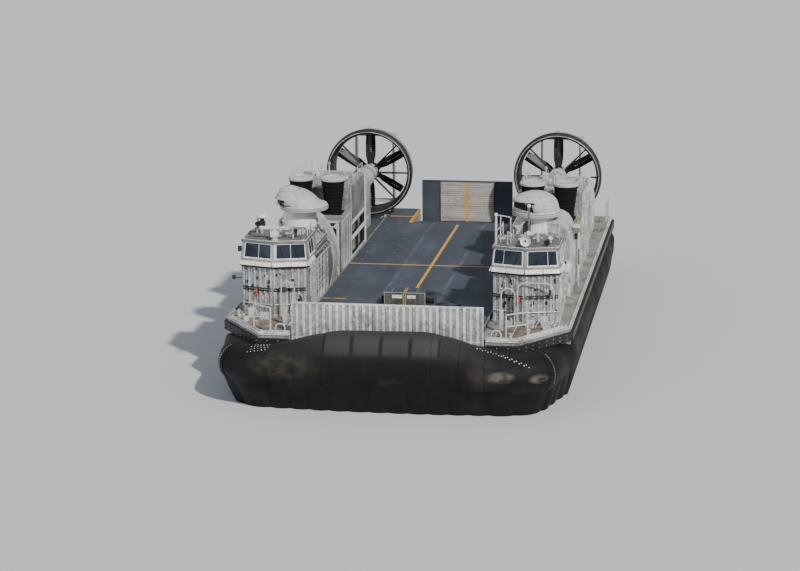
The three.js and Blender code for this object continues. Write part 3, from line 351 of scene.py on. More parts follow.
# Geometry helpers
class Shape:
    """Points and faces gathered for one piece. With a side, the x of blocks, tubes and turned forms is
    given as the distance from the craft's middle line."""

    def __init__(self, side="port", move=None):
        self.s = SIDES[side]
        self.points = []
        self.faces = []
        self.move = move

    def add(self, points, faces):
        start = len(self.points)
        placed = [self.move @ Vector(p) for p in points] if self.move else points
        self.points += [tuple(p) for p in placed]
        self.faces += [tuple(start + i for i in face) for face in faces]

    def skin(self, rings, loop=False, ends=True):
        """A surface over rings of equal point count. loop joins the last ring to the first."""
        count = len(rings[0])
        faces = []
        for i in range(len(rings) if loop else len(rings) - 1):
            a, b = i * count, (i + 1) % len(rings) * count
            faces += [(a + j, a + (j + 1) % count, b + (j + 1) % count, b + j) for j in range(count)]
        if ends and not loop:
            last = (len(rings) - 1) * count
            faces += [tuple(range(count)), tuple(range(last, last + count))]
        self.add([p for ring in rings for p in ring], faces)

    def block(self, x, y, z):
        x0, x1 = sorted(self.s * v for v in x)
        corners = ((x0, y[0]), (x1, y[0]), (x1, y[1]), (x0, y[1]))
        self.skin([[(*corner, h) for corner in corners] for h in z])

    def turned(self, profile, segments, origin, axis="Z", loop=False):
        """A profile of (radius, height along the axis), turned about the axis through origin."""
        centre = (self.s * origin[0], origin[1], origin[2])
        order = {"Z": (0, 1, 2), "Y": (0, 2, 1), "X": (2, 0, 1)}[axis]
        rings = []
        for r, h in profile:
            wide = max(r, 1e-4)
            level = [(wide * math.cos(a), wide * math.sin(a), h) for a in around(segments)]
            rings.append([tuple(c + p[k] for c, k in zip(centre, order)) for p in level])
        self.skin(rings, loop)

    def tube(self, path, radius, sides=8, loop=False):
        line = [Vector((self.s * p[0], p[1], p[2])) for p in path]
        rings = []
        across = None
        for i, p in enumerate(line):
            before = line[i - 1] if i or loop else p
            after = line[(i + 1) % len(line)] if i < len(line) - 1 or loop else p
            forward = (after - before).normalized()
            across = across or forward.orthogonal()
            across = (across - forward * across.dot(forward)).normalized()
            up = forward.cross(across)
            rings.append([p + (across * math.cos(a) + up * math.sin(a)) * radius for a in around(sides)])
        self.skin(rings, loop)

    def rod(self, x, y, z, radius, sides=8):
        """An upright tube between two heights."""
        self.tube([(x, y, h) for h in z], radius, sides)

    def stud(self, centre, normal, radius, height):
        """A low round head, as of a bolt."""
        n = Vector(normal).normalized()
        u = n.orthogonal().normalized()
        v = n.cross(u)
        ways = [u * math.cos(a) + v * math.sin(a) for a in around(8)]
        levels = ((1.0, 0.0), (0.85, 0.7), (0.4, 1.0))
        self.skin([[Vector(centre) + way * radius * r + n * height * h for way in ways] for r, h in levels])

    def piece(self, name, look, body="root", slot="bare_metal", bevel=0.0, smooth=35, replaces=()):
        mesh = bpy.data.meshes.new(name)
        mesh.from_pydata(self.points, [], self.faces)
        work = bmesh.new()
        work.from_mesh(mesh)
        bmesh.ops.recalc_face_normals(work, faces=work.faces)
        work.to_mesh(mesh)
        work.free()
        mesh.shade_smooth()
        mesh.set_sharp_from_angle(angle=math.radians(smooth))
        mesh.materials.append(LOOKS[look])
        obj = bpy.data.objects.new(name, mesh)
        bpy.context.scene.collection.objects.link(obj)
        if bevel:
            add_bevel(obj, bevel)
        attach(obj, body)
        if replaces:
            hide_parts(*replaces)
        return obj


def add_bevel(obj, width, segments=2):
    made = obj.modifiers.new("soft_edges", "BEVEL")
    made.width = width
    made.segments = segments
    made.limit_method = "ANGLE"
    made.angle_limit = math.radians(40)


def about(middle, half):
    return (middle - half, middle + half)


def lerp(a, b, t):
    return a + (b - a) * t


def around(count):
    """Angles evenly spread over a full turn."""
    return [2 * math.pi * k / count for k in range(count)]


def flat_ring(radii, heights):
    """The profile of a ring with a rectangular section."""
    (r0, r1), (h0, h1) = radii, heights
    return [(r0, h0), (r1, h0), (r1, h1), (r0, h1)]


def spread(start, stop, count):
    """count values from start to stop, both included."""
    return [lerp(start, stop, k / (count - 1)) for k in range(count)]


def bend_corners(points, radius, steps=4):
    """The path with its inner corners rounded."""
    line = [Vector(p) for p in points]
    made = [line[0]]
    for before, corner, after in zip(line, line[1:], line[2:]):
        a = corner + (before - corner).normalized() * min(radius, (before - corner).length * 0.45)
        b = corner + (after - corner).normalized() * min(radius, (after - corner).length * 0.45)
        for t in spread(0, 1, steps + 1):
            made.append(a.lerp(corner, t).lerp(corner.lerp(b, t), t))
    return made + [line[-1]]


# Skirt
def hull_outline(grow=0.0):
    h = HULL
    return [
        (-h["bow_half"] - grow / 2, h["bow_y"] - grow), (h["bow_half"] + grow / 2, h["bow_y"] - grow),
        (h["half"] + grow, h["shoulder_y"] - grow * 0.3), (h["half"] + grow, h["stern_y"] + grow),
        (-h["half"] - grow, h["stern_y"] + grow), (-h["half"] - grow, h["shoulder_y"] - grow * 0.3),
    ]


def core_path():
    """Outward normals of the hull's edges, and the corners of its outline drawn in to the skirt's core."""
    outer = hull_outline()
    count = len(outer)
    normals = []
    for (x0, y0), (x1, y1) in zip(outer, outer[1:] + outer[:1]):
        length = math.hypot(x1 - x0, y1 - y0)
        normals.append(((y1 - y0) / length, (x0 - x1) / length))
    corners = []
    for i in range(count):
        (ex, ey), (fx, fy) = normals[i - 1], normals[i]
        e = ex * outer[i - 1][0] + ey * outer[i - 1][1] - SKIRT["core"]
        f = fx * outer[i][0] + fy * outer[i][1] - SKIRT["core"]
        det = ex * fy - ey * fx
        corners.append(((e * fy - f * ey) / det, (ex * f - fx * e) / det))
    return normals, corners


NORMALS, CORNERS = core_path()


def stations(edges, first_y, last_y, step):
    """Places (x, y, nx, ny, travelled) along a run of the skirt, with arcs between its straight edges."""
    made = []

    def push(x, y, nx, ny):
        travelled = 0.0
        if made:
            bx, by, bnx, bny, travelled = made[-1]
            core = SKIRT["core"]
            travelled += math.hypot(x + nx * core - bx - bnx * core, y + ny * core - by - bny * core)
        made.append((x, y, nx, ny, travelled))

    for k, edge in enumerate(edges):
        a, b = CORNERS[edge], CORNERS[(edge + 1) % len(CORNERS)]
        nx, ny = NORMALS[edge]
        if k == 0:
            a = (a[0], first_y)
        if k == len(edges) - 1:
            b = (b[0], last_y)
        if k:
            bx, by = NORMALS[edges[k - 1]]
            start = math.atan2(by, bx)
            turn = (math.atan2(ny, nx) - start + math.pi) % (2 * math.pi) - math.pi
            parts = max(2, round(abs(turn) * 2.2 / step))
            for i in range(1, parts):
                push(*a, math.cos(start + turn * i / parts), math.sin(start + turn * i / parts))
        parts = max(1, round(math.hypot(b[0] - a[0], b[1] - a[1]) / step))
        for t in spread(0, 1, parts + 1):
            push(lerp(a[0], b[0], t), lerp(a[1], b[1], t), nx, ny)
    return made


def ease(t):
    c = min(1.0, max(0.0, t))
    return c * c * (3 - 2 * c)


def bag_form(station):
    """(bulge past the hull's edge, top, radius) of the bag at a station."""
    x, y, nx, ny, _ = station
    side_bulge = SKIRT["bulge"]
    edge_x, edge_y = abs(x + nx * SKIRT["core"]), y + ny * SKIRT["core"]
    if edge_y < SKIRT["split_y"] + 0.001:
        back = ease((edge_y + 12.1) / 2.7)
        wide = ease((edge_x - 1.3) / 4.2)
        out = 1.8 - 0.2 * wide - (1.6 - side_bulge) * back
        return (out, 3.36 - 0.85 * wide - 0.24 * back, 0.95 - 0.48 * back)
    if edge_y > SKIRT["stern_y"] - 0.001:
        back = ease((ny - 0.5) * 2)
        return (side_bulge + (1.4 - side_bulge) * back, 2.27 - 0.09 * back, 0.47 + 0.43 * back)
    return (side_bulge, 2.27, 0.47)


def off_core(station, out, z):
    x, y, nx, ny, _ = station
    return Vector((x + nx * (SKIRT["core"] + out), y + ny * (SKIRT["core"] + out), z))


def bag_point(station, degrees, lift=0.0):
    """A point of the bag's skin, with its lumps, and its folds at the front panels' edges."""
    bulge, top, radius = bag_form(station)
    a = math.radians(degrees)
    middle = (top + SKIRT["bag_low_z"]) / 2
    rise = (top - SKIRT["bag_low_z"]) / 2
    out = bulge - radius + (radius + lift) * math.cos(a)
    p = off_core(station, out, middle + (rise + lift) * math.sin(a))
    lump = noise.noise(Vector((p.x * 0.5, p.y * 0.5, p.z * 0.8))) * 0.035
    lump += noise.noise(Vector((p.x * 1.7, p.y * 1.7, p.z * 0.9))) * 0.012
    fold = math.cos(math.pi * p.x / PANEL_PITCH) ** 16 if p.y < -12.5 else 0.0
    way = Vector((station[2] * math.cos(a), station[3] * math.cos(a), math.sin(a)))
    return p + way * (lump - 0.02 * fold - 0.02)


def flatten(obj, name):
    """Gives the bag under a ramp, and what is on it, a mesh of its own."""
    if name in SQUASH:
        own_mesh(obj)


def bag(name, run):
    rings = []
    for station in stations(*run, 0.28):
        top = bag_form(station)[1]
        ring = [bag_point(station, d) for d in spread(122, -108, 27)]
        ring += [off_core(station, -0.56, 1.18), off_core(station, -0.56, 2.1), off_core(station, 0.03, 2.12)]
        ring.append(off_core(station, 0.06, lerp(SKIRT["bag_low_z"], top, 0.8) if top > 2.6 else 2.13))
        rings.append(ring)
    shape = Shape()
    shape.skin(rings)
    solid = f"skirt_bag_{name}"
    made = shape.piece(f"smooth_{solid}", "bag", slot="rubber", smooth=60, replaces=(solid,))
    flatten(made, name)


def fingers(name, run):
    """Scalloped fingers below the bag: a leaning wall from the bag's underside to the ground."""
    rings = []
    low = SKIRT["bag_low_z"]
    for station in stations(*run, 0.1):
        bulge, top, radius = bag_form(station)
        centre = bulge - radius
        middle = (top + low) / 2
        swell = abs(math.sin(math.pi * station[4] / SKIRT["pitch"])) ** 0.55
        scallop = 0.075 * (2 * swell - 1)
        out_top = centre + radius * 0.66 + scallop
        in_top = out_top - min(0.52, radius * 1.1)
        out_low = centre + radius * 0.1 + scallop
        heights = []
        for out in (out_top, in_top):
            share = (out - centre) / radius
            heights.append(middle + 0.09 - (middle - low) * math.sqrt(max(0.0, 1 - share * share)))
        out_z, in_z = heights
        waist = lerp(out_low, out_top, 0.45) + 0.03 * swell + 0.03
        edge = ((out_top, out_z), (waist, out_z / 2), (out_low, 0.0), (out_low - 0.26, 0.0), (in_top, in_z))
        rings.append([off_core(station, out, z) for out, z in edge])
    shape = Shape()
    shape.skin(rings)
    solid = f"skirt_fingers_{name}"
    shape.piece(f"smooth_{solid}", "finger", slot="rubber", smooth=50, replaces=(solid,))


RUNS = {
    "bow": ((4, 5, 0, 1, 2), SKIRT["split_y"], SKIRT["split_y"]),
    "port": ((2,), SKIRT["split_y"] + 0.001, SKIRT["stern_y"] - 0.001),
    "stern": ((2, 3, 4), SKIRT["stern_y"], SKIRT["stern_y"]),
    "starboard": ((4,), SKIRT["stern_y"] - 0.001, SKIRT["split_y"] + 0.001),
}
SQUASH = {"bow": ("bow_ramp_hinge", 0.1), "stern": ("stern_ramp_hinge", 0.3)}


def front_station(x):
    return (x, HULL["bow_y"] + SKIRT["core"], 0.0, -1.0, 0.0)


def corner_station(s, degrees):
    """A station on the arc between the bow's edge and the bevelled shoulder."""
    a = math.radians(degrees)
    return (s * abs(CORNERS[1][0]), CORNERS[1][1], s * math.sin(a), -math.cos(a), 0.0)


def bow_seams():
    """Seam tapes down the bow bag, and its rows of bolt heads."""
    tapes = Shape()
    places = [(front_station(x), 112, 26) for x in (-4.6, -3.5, -2.34, 2.0, 3.1, 4.1)]
    for station, first, count in places + [(corner_station(s, 46), 105, 24) for s in (-1, 1)]:
        tapes.tube([bag_point(station, d, 0.008) for d in spread(first, -60, count)], 0.013, 6)
    flatten(tapes.piece("bow_bag_seams", "bag", slot="rubber", smooth=60), "bow")
    bolts = Shape()

    def head(station, degrees, radius):
        point = bag_point(station, degrees)
        bolts.stud(point, point - off_core(station, 0.6, 1.8), radius, radius * 0.6)

    def zigzag(k):
        return 2.4 if k % 2 else -2.4

    for k, t in enumerate(spread(0, 1, 9)):
        head(front_station(lerp(3.75, 4.6, t)), lerp(77, 72, t) + zigzag(k), 0.026)
    for k, t in enumerate(spread(0, 1, 13)):
        head(corner_station(1, lerp(2, 27, t)), lerp(72, 36, t) + zigzag(k), 0.026)
    for row in range(4):
        for t in spread(0, 1, 6):
            head(corner_station(-1, lerp(1, 19, t) + row % 2 * 2), lerp(98, 88, t) - row * 11, 0.022)
    for s in (-1, 1):
        for d in spread(66, -22, 14):
            head(corner_station(s, 52.5), d, 0.018)
    flatten(bolts.piece("bow_bag_bolts", "trim"), "bow")


def skirt():
    for name, run in RUNS.items():
        bag(name, run)
        fingers(name, run)
    bow_seams()


# Hull, deck and ramps
def along_outline(s, grow, z, step):
    """Points every step along one side of the hull's outline, from the bow ramp's slot to the stern."""
    h = HULL
    corners = [Vector((s * x, y, z)) for x, y in (
        (3.97, h["bow_y"] - grow), (h["bow_half"] + grow / 2, h["bow_y"] - grow),
        (h["half"] + grow, h["shoulder_y"] - grow * 0.3), (h["half"] + grow, h["stern_y"] + grow),
    )]
    made = []
    for a, b in zip(corners, corners[1:]):
        count = max(1, round((b - a).length / step))
        made += [a.lerp(b, k / count) for k in range(count)]
    return made + [corners[-1]]


def outward(points, k):
    """Level direction across a path at point k, pointing away from the middle line of the craft."""
    d = points[min(k + 1, len(points) - 1)] - points[max(k - 1, 0)]
    n = Vector((d.y, -d.x, 0)).normalized()
    return n if n.dot(Vector((points[k].x, points[k].y * 0.3, 0))) > 0 else -n


def hull_edge(side):
    """Deck-edge coaming, fender strips and their bolts, and the walkway's cross ribs."""
    s = SIDES[side]
    edge = Shape()
    for grow, z, radius in ((-0.05, FLOOR + 0.02, 0.045), (0.012, FLOOR - 0.03, 0.03)):
        edge.tube(along_outline(s, grow, z, 1.5), radius)
    edge.piece(f"deck_edge_{side}", "trim")
    strips = Shape()
    for z in (2.365, 2.655):
        strips.tube(along_outline(s, 0.122, z, 1.5), 0.022, 6)
    strips.piece(f"fender_strips_{side}", "black", slot="rubber")
    bolts = Shape()
    for z, grow, apart, radius, height in (
        (2.43, 0.12, 0.42, 0.018, 0.012), (2.59, 0.12, 0.42, 0.018, 0.012), (2.76, 0.0, 0.55, 0.022, 0.014),
    ):
        line = along_outline(s, grow, z, apart)
        for k, p in enumerate(line[1:-1], 1):
            bolts.stud(p, outward(line, k), radius, height)
    bolts.piece(f"fender_bolts_{side}", "trim")
    ribs = Shape(side)
    for y in spread(-6.4, 12.2, 32):
        ribs.block((6.66, 7.02), about(y, 0.03), (FLOOR - 0.002, FLOOR + 0.014))
    for y in spread(-8.8, 12.0, 9):
        ribs.block((6.86, 6.98), about(y, 0.16), (FLOOR - 0.002, FLOOR + 0.05))
    ribs.piece(f"walkway_ribs_{side}", "hull", slot="hull_metal", bevel=0.004)


def deck_fittings():
    """Lashing sockets over the deck, and the low bars along its edges."""
    top = DECK["top_z"]
    sockets = Shape()
    for x in (-3.3, -2.05, 2.05, 3.3):
        for y in spread(-9.6, 8.6, 13):
            sockets.turned([(0.085, 0.0), (0.085, 0.008), (0.06, 0.012), (0.05, 0.006)], 16, (x, y, top))
            for dx, dy in ((0.05, 0), (0, 0.05)):
                sockets.tube([(x - dx, y - dy, top + 0.008), (x + dx, y + dy, top + 0.008)], 0.008, 6)
    sockets.piece("lashing_sockets", "engine", slot="hull_metal")
    bars = Shape()
    for s in (-1, 1):
        bars.block(about(s * (DECK["half"] - 0.03), 0.025), (DECK["fore_y"], 12.4), (top, top + 0.05))
    bars.piece("deck_edge_bars", "panel", bevel=0.004)


def bow_ramp():
    """Upright stiffeners, edge bars and rivets on the ramp's outer face, and treads on its inner one."""
    half, face, low, top = (BOW_RAMP[key] for key in ("half", "face_y", "low_z", "top_z"))
    back = -12.08
    count = 28
    ribs = Shape()
    for k in range(count):
        ribs.block(about((k - (count - 1) / 2) * 0.27, 0.052), (face - 0.003, face + 0.03), (low, top - 0.05))
    ribs.block((-half, half), (face - 0.004, back), (top - 0.055, top + 0.012))
    for s in (-1, 1):
        ribs.block((s * half, s * (half - 0.05)), (face - 0.002, back), (low, top))
    ribs.block((-half, half), (face + 0.004, face + 0.03), (low + 0.1, low + 0.16))
    ribs.piece("bow_ramp_stiffeners", "rib", "bow_ramp", bevel=0.004)
    treads = Shape()
    for z in spread(low + 0.14, top - 0.14, 12):
        treads.block((-half + 0.25, half - 0.25), (-12.098, -12.082), about(z, 0.02))
    treads.piece("bow_ramp_treads", "deck", "bow_ramp", slot="deck_coating", bevel=0.004)
    studs = Shape()
    for x in spread(-3.7, 3.7, 56):
        studs.stud((x, face - 0.004, top - 0.022), (0, -1, 0), 0.013, 0.009)
        studs.stud((x, face + 0.012, low + 0.14), (0, -1, 0), 0.015, 0.01)
    studs.piece("bow_ramp_studs", "trim", "bow_ramp")


def stern_ramp():
    """Tread boards between plain side bands, with the yellow middle line, on the face towards the deck."""
    half, face, low, top = (STERN_RAMP[key] for key in ("half", "face_y", "low_z", "top_z"))
    boards = Shape()
    strips = Shape()
    heights = spread(low + 0.09, top - 0.09, 19)
    for z in heights:
        boards.block((-1.31, 1.31), (face - 0.03, face + 0.005), about(z, 0.038))
    for below, above in zip(heights, heights[1:]):
        strips.block((-1.31, 1.31), (face - 0.026, face + 0.004), about((below + above) / 2, 0.01))
    boards.piece("stern_ramp_boards", "slats", "stern_ramp", slot="deck_coating", bevel=0.006)
    strips.piece("stern_ramp_strips", "rib", "stern_ramp", slot="deck_coating")
    trim = Shape()
    for x in (-2.2, -1.35, 1.35, 2.2):
        trim.block(about(x, 0.022), (face - 0.024, face + 0.004), (low + 0.02, top - 0.02))
    trim.block((-half, half), (face - 0.02, face + 0.11), (top - 0.04, top + 0.02))
    trim.piece("stern_ramp_trim", "deck", "stern_ramp", slot="hull_metal", bevel=0.005)
    line = Shape()
    line.block((-0.065, 0.065), (face - 0.034, face - 0.029), (low + 0.05, top - 0.05))
    line.piece("stern_ramp_line", "yellow", "stern_ramp", slot="deck_coating")


def winch():
    """Frame, front, sign plates, yellow strips and black rope of the winch box on the deck."""
    face, aft, half, top, drum_y, drum_z = WINCH.values()
    bars = Shape()
    for x in (-half, half):
        bars.block(about(x, 0.015), (face - 0.02, face + 0.005), (3.02, top - 0.04))
    bars.block(about(0, half + 0.02), (face - 0.022, face + 0.02), (top - 0.05, top - 0.01))
    bars.block((-half - 0.012, -half), (face, aft), (3.04, top - 0.02))
    for x in (-0.55, 0.5):
        bars.block(about(x, 0.012), (face + 0.02, aft - 0.02), (top, top + 0.012))
    bars.piece("winch_frame", "hull", bevel=0.005)
    front = Shape()
    front.block(about(0, half - 0.03), (face - 0.008, face - 0.001), (3.06, top - 0.08))
    front.piece("winch_front", "olive")
    sign = Shape()
    for x in ((-0.53, -0.1), (0.1, 0.47)):
        sign.block(x, (face - 0.03, face - 0.018), (3.36, 3.5))
    sign.piece("winch_plate", "white", slot="white_paint", bevel=0.004)
    line = Shape()
    for x in (-0.04, 0.04):
        line.block(about(x, 0.017), (face - 0.026, face - 0.018), (3.06, top - 0.06))
        line.block(about(x, 0.017), (face + 0.03, aft - 0.05), (top, top + 0.006))
    line.piece("winch_line", "yellow", slot="deck_coating")
    rope = Shape()
    for k in range(9):
        x = half + 0.06 + k * 0.036
        turn = [(x, drum_y + 0.258 * math.cos(a), drum_z + 0.258 * math.sin(a)) for a in around(32)]
        rope.tube(turn, 0.018, 6, loop=True)
    end = half + 0.3
    for x, y in ((2.3, -7.1), (1.9, -6.6)):
        path = [(end, drum_y, 3.06), (lerp(end, x, 0.6), y - 0.2, 3.03), (x, y, 3.025)]
        rope.tube(bend_corners(path, 0.2), 0.02)
    rope.block((-half - 0.16, -half - 0.02), (face + 0.15, face + 0.35), (3.1, 3.4))
    rope.piece("winch_rope", "black", slot="deck_coating")


# Cabins
def cabin_plan(s, inset, lean=0.0):
    half = (SIDE["outer_x"] - SIDE["inner_x"]) / 2 - inset
    nose = CABIN["nose_y"] + inset * 1.05 + lean
    front = CABIN["front_y"] + inset * 1.05 + lean
    aft = CABIN["aft_y"] - inset
    return [
        (s * (MID_X - half), front), (s * MID_X, nose), (s * (MID_X + half), front),
        (s * (MID_X + half), aft), (s * (MID_X - half), aft),
    ]


def cabin_face(s, k):
    """A function that gives the point at (share along, height, distance out) on a cabin's wall. Wall 0 is
    the inboard front, 1 the outboard front, 2 the outboard flank, 3 the back and 4 the inboard flank."""
    def at(along, z, out=0.0):
        if z < CABIN["sill_z"] - 0.06:
            plan = cabin_plan(s, 0.06, 0.04)
        else:
            plan = cabin_plan(s, CABIN["lean"] * min(1.0, max(0.0, (z - 5.07) / 0.85)))
        (x0, y0), (x1, y1) = plan[k], plan[(k + 1) % 5]
        n = Vector((y1 - y0, x0 - x1, 0)).normalized() * s
        return Vector((lerp(x0, x1, along), lerp(y0, y1, along), z)) + n * out
    return at


def panel(shape, at, along, z, out):
    """A plate on a wall, between two shares along, two heights and two distances out."""
    corners = ((along[0], z[0]), (along[1], z[0]), (along[1], z[1]), (along[0], z[1]))
    shape.skin([[at(a, b, o) for a, b in corners] for o in out])


FLANK_WINDOWS = {2: (0.226, 0.25, 0.489, 0.727, 0.751), 4: (0.249, 0.273, 0.512, 0.75, 0.774)}
WINDOWS = {
    # wall: shares of its length at the frame's start, pane's start, mullion, pane's end and frame's end
    "starboard": {
        0: (0.012, 0.045, 0.455, 0.868, 0.935), 1: (0.01, 0.03, 0.43, 0.877, 0.915), **FLANK_WINDOWS,
    },
    "port": {0: (0.025, 0.06, 0.35, 0.916, 0.955), 1: (0.065, 0.095, 0.67, 0.925, 0.955), **FLANK_WINDOWS},
}
PANE = (5.31, 5.875)
SILLS = (
    # wall, shares of its length from and to
    (0, 0.02, 0.45), (0, 0.47, 0.985), (1, 0.015, 0.5), (1, 0.52, 0.98), (2, 0.0, 0.62), (4, 0.38, 1.0),
)


def cabin_windows(side):
    """Frames and panes, the sloped white sill with a black strip below it as painted shadow, and wipers on
    the front panes.
    """
    s = SIDES[side]
    low, high = PANE
    frames = Shape()
    panes = Shape()
    for k, (start, left, middle, right, end) in WINDOWS[side].items():
        at = cabin_face(s, k)
        for span in ((start, left), (right, end)):
            panel(frames, at, span, (low - 0.07, high + 0.045), (-0.03, 0.022))
        for z in ((low - 0.07, low), (high, high + 0.045)):
            panel(frames, at, (start, end), z, (-0.03, 0.024))
        panel(frames, at, about(middle, 0.008), (low, high), (-0.03, 0.01))
        panel(panes, at, (left, right), (low, high), (-0.02, 0.006))
    frames.piece(f"window_frames_{side}", "white", slot="white_paint", bevel=0.005)
    panes.piece(f"window_panes_{side}", "glass", slot="window_glass")
    sill = Shape()
    for k, a, b in SILLS:
        at = cabin_face(s, k)
        levels = ((4.985, 0.1), (5.15, 0.03))
        sill.skin([[at(a, z, -0.02), at(b, z, -0.02), at(b, z, out), at(a, z, out)] for z, out in levels])
    sill.piece(f"cabin_sill_{side}", "white", slot="white_paint", bevel=0.008)
    # A black strip under the sill: painted shadow of its overhang.
    shade_gap = Shape()
    for k in (0, 1, 2, 4):
        panel(shade_gap, cabin_face(s, k), (0.01, 0.99), (4.88, 4.98), (-0.03, 0.07))
    shade_gap.piece(f"cabin_sill_painted_shadow_{side}", "black")
    wipers = Shape()
    for k in (0, 1):
        at = cabin_face(s, k)
        _, left, _, right, _ = WINDOWS[side][k]
        for share in (0.22, 0.72):
            foot = lerp(left, right, share)
            wipers.tube([at(foot, low - 0.03, 0.04), at(foot + 0.09, low + 0.3, 0.035)], 0.008, 6)
            wipers.tube([at(foot + 0.07, low + 0.12, 0.03), at(foot + 0.11, low + 0.46, 0.03)], 0.007, 6)
    wipers.piece(f"wipers_{side}", "black", slot="rubber")


def clutter(shape, at, along, z, count, seed):
    """Small boxes, brackets and conduit runs on a wall, placed by a fixed seed."""
    pick = random.Random(seed)
    for _ in range(count):
        a = pick.uniform(*along)
        h = pick.uniform(*z)
        b = min(a + pick.uniform(0.012, 0.05), along[1])
        top = min(h + pick.uniform(0.04, 0.17), z[1])
        panel(shape, at, (a, b), (h, top), (-0.01, pick.uniform(0.02, 0.09)))
    for _ in range(count // 3):
        a = pick.uniform(*along)
        h0, h1 = sorted((pick.uniform(*z), pick.uniform(*z)))
        b = min(along[1], max(along[0], a + pick.uniform(-0.1, 0.1)))
        shape.tube([at(a, h0, 0.03), at(a, h1, 0.03), at(b, h1, 0.03)], 0.012, 6)


CABIN_RIBS = {
    # wall: shares of its length, half width of a rib
    0: (spread(0.06, 0.95, 6), 0.03), 1: (spread(0.05, 0.94, 6), 0.03), 2: (spread(0.04, 0.96, 6), 0.018),
    3: (spread(0.03, 0.97, 7), 0.018), 4: ((0.04, 0.16, 0.29), 0.018),
}
CABIN_GEAR = (
    # wall, shares from and to, heights, count, seeds to starboard and to port
    (0, (0.06, 0.92), (3.05, 4.78), 16, (11, 111)), (1, (0.06, 0.92), (3.05, 4.78), 16, (23, 123)),
    (2, (0.06, 0.92), (3.05, 4.78), 16, (37, 137)), (4, (0.02, 0.28), (3.05, 4.78), 6, (53, 53)),
    (3, (0.05, 0.95), (3.1, 4.8), 14, (61, 61)),
)
EXTINGUISHER = {"starboard": (1, 0.5, 3.69), "port": (0, 0.85, 3.72)}


def cabin_body(side):
    """Stiffening ribs, pipes, small gear and the fire extinguisher on the cabin's walls below the windows."""
    s = SIDES[side]
    ribs = Shape()
    for k, (shares, half) in CABIN_RIBS.items():
        at = cabin_face(s, k)
        for share in shares:
            panel(ribs, at, about(share, half), (FLOOR + 0.05, 4.88), (-0.01, 0.034))
        panel(ribs, at, (0.0, 1.0), (FLOOR + 0.005, FLOOR + 0.09), (-0.01, 0.045))
    ribs.piece(f"cabin_ribs_{side}", "plate", bevel=0.005)
    gear = Shape()
    for k, along, z, count, seeds in CABIN_GEAR:
        clutter(gear, cabin_face(s, k), along, z, count, seeds[s > 0])
    for k in (0, 1, 2):
        at = cabin_face(s, k)
        gear.tube([at(share, 3.36, 0.06) for share in spread(0.03, 0.97, 5)], 0.022)
        for share in spread(0.08, 0.92, 6):
            panel(gear, at, about(share, 0.015), (3.86, 4.02), (-0.01, 0.05))
    gear.piece(f"cabin_gear_{side}", "trim", bevel=0.004)
    dark_gear = Shape()
    for k, seed in ((0, 71), (1, 83)):
        at = cabin_face(s, k)
        pick = random.Random(seed + (s > 0) * 10)
        for _ in range(12):
            a, z = pick.uniform(0.08, 0.9), pick.uniform(3.1, 4.6)
            b, top = a + pick.uniform(0.03, 0.08), z + pick.uniform(0.05, 0.2)
            panel(dark_gear, at, (a, b), (z, top), (-0.01, 0.04))
        for z, out in ((4.04, 0.08), (3.94, 0.06)):
            dark_gear.tube([at(share, z, out) for share in spread(0.03, 0.97, 5)], 0.026)
    dark_gear.piece(f"cabin_dark_gear_{side}", "black", bevel=0.004)
    wall, share, z = EXTINGUISHER[side]
    bottle = Shape()
    outline = [(0.0, 0.0), (0.05, 0.005), (0.06, 0.03), (0.06, 0.24), (0.045, 0.28), (0.02, 0.3), (0.0, 0.32)]
    bottle.turned(outline, 16, cabin_face(s, wall)(share, z, 0.13))
    bottle.piece(f"extinguisher_{side}", "red")


def cabin_roof(side):
    s = SIDES[side]
    z = CABIN["roof_z"]
    edge = Shape()
    edge.tube([(x, y, z) for x, y in cabin_plan(s, 0.075)], 0.022, loop=True)
    edge.piece(f"roof_edge_{side}", "trim", slot="grey_paint")
    grates = Shape(side)
    for x0, x1, y0, y1 in ((-1.15, -0.1, -9.05, -8.6), (0.1, 1.15, -9.05, -8.45), (-1.1, 0.2, -7.25, -7.02)):
        for y in spread(y0, y1, 8):
            grates.block((MID_X + x0, MID_X + x1), about(y, 0.012), (z - 0.002, z + 0.035))
        for x in spread(x0, x1, 9):
            grates.block(about(MID_X + x, 0.01), (y0, y1), (z + 0.002, z + 0.028))
    grates.piece(f"roof_grates_{side}", "roof", slot="grey_paint")
    gear = Shape(side)
    pick = random.Random(5 + s)
    for _ in range(30):
        x, y = pick.uniform(-1.2, 1.1), pick.uniform(-8.7, -7.05)
        w, d, h = (pick.uniform(0.04, 0.14) for _ in range(3))
        top = z + (0.15 if abs(x) > 0.2 and y < -7.25 else 0.0)
        gear.block((MID_X + x, MID_X + x + w), (y, y + d), (top - 0.01, top + h))
    for x, y in ((-1.25, -9.0), (1.25, -9.0), (-1.25, -7.05), (1.25, -7.05)):
        gear.turned([(0.03, 0.0), (0.03, 0.06), (0.015, 0.08)], 10, (MID_X + x, y, z))
    gear.piece(f"roof_gear_{side}", "trim", slot="grey_paint", bevel=0.005)


LAMP_OUTLINE = (
    # share of the radius, share of the depth
    (0.0, -0.2), (0.55, -0.1), (0.8, -0.35), (1.0, -0.5), (0.95, -0.2), (0.75, 0.3), (0.3, 0.5), (0.0, 0.52),
)


def lamp(shape, spot, radius, depth):
    """A round lamp housing that looks towards the bow."""
    x, y, z = spot
    shape.turned([(radius * r, depth * h) for r, h in LAMP_OUTLINE], 24, spot, "Y")
    shape.rod(x, y, (z - radius * 0.9, z - radius - 0.14), 0.02)


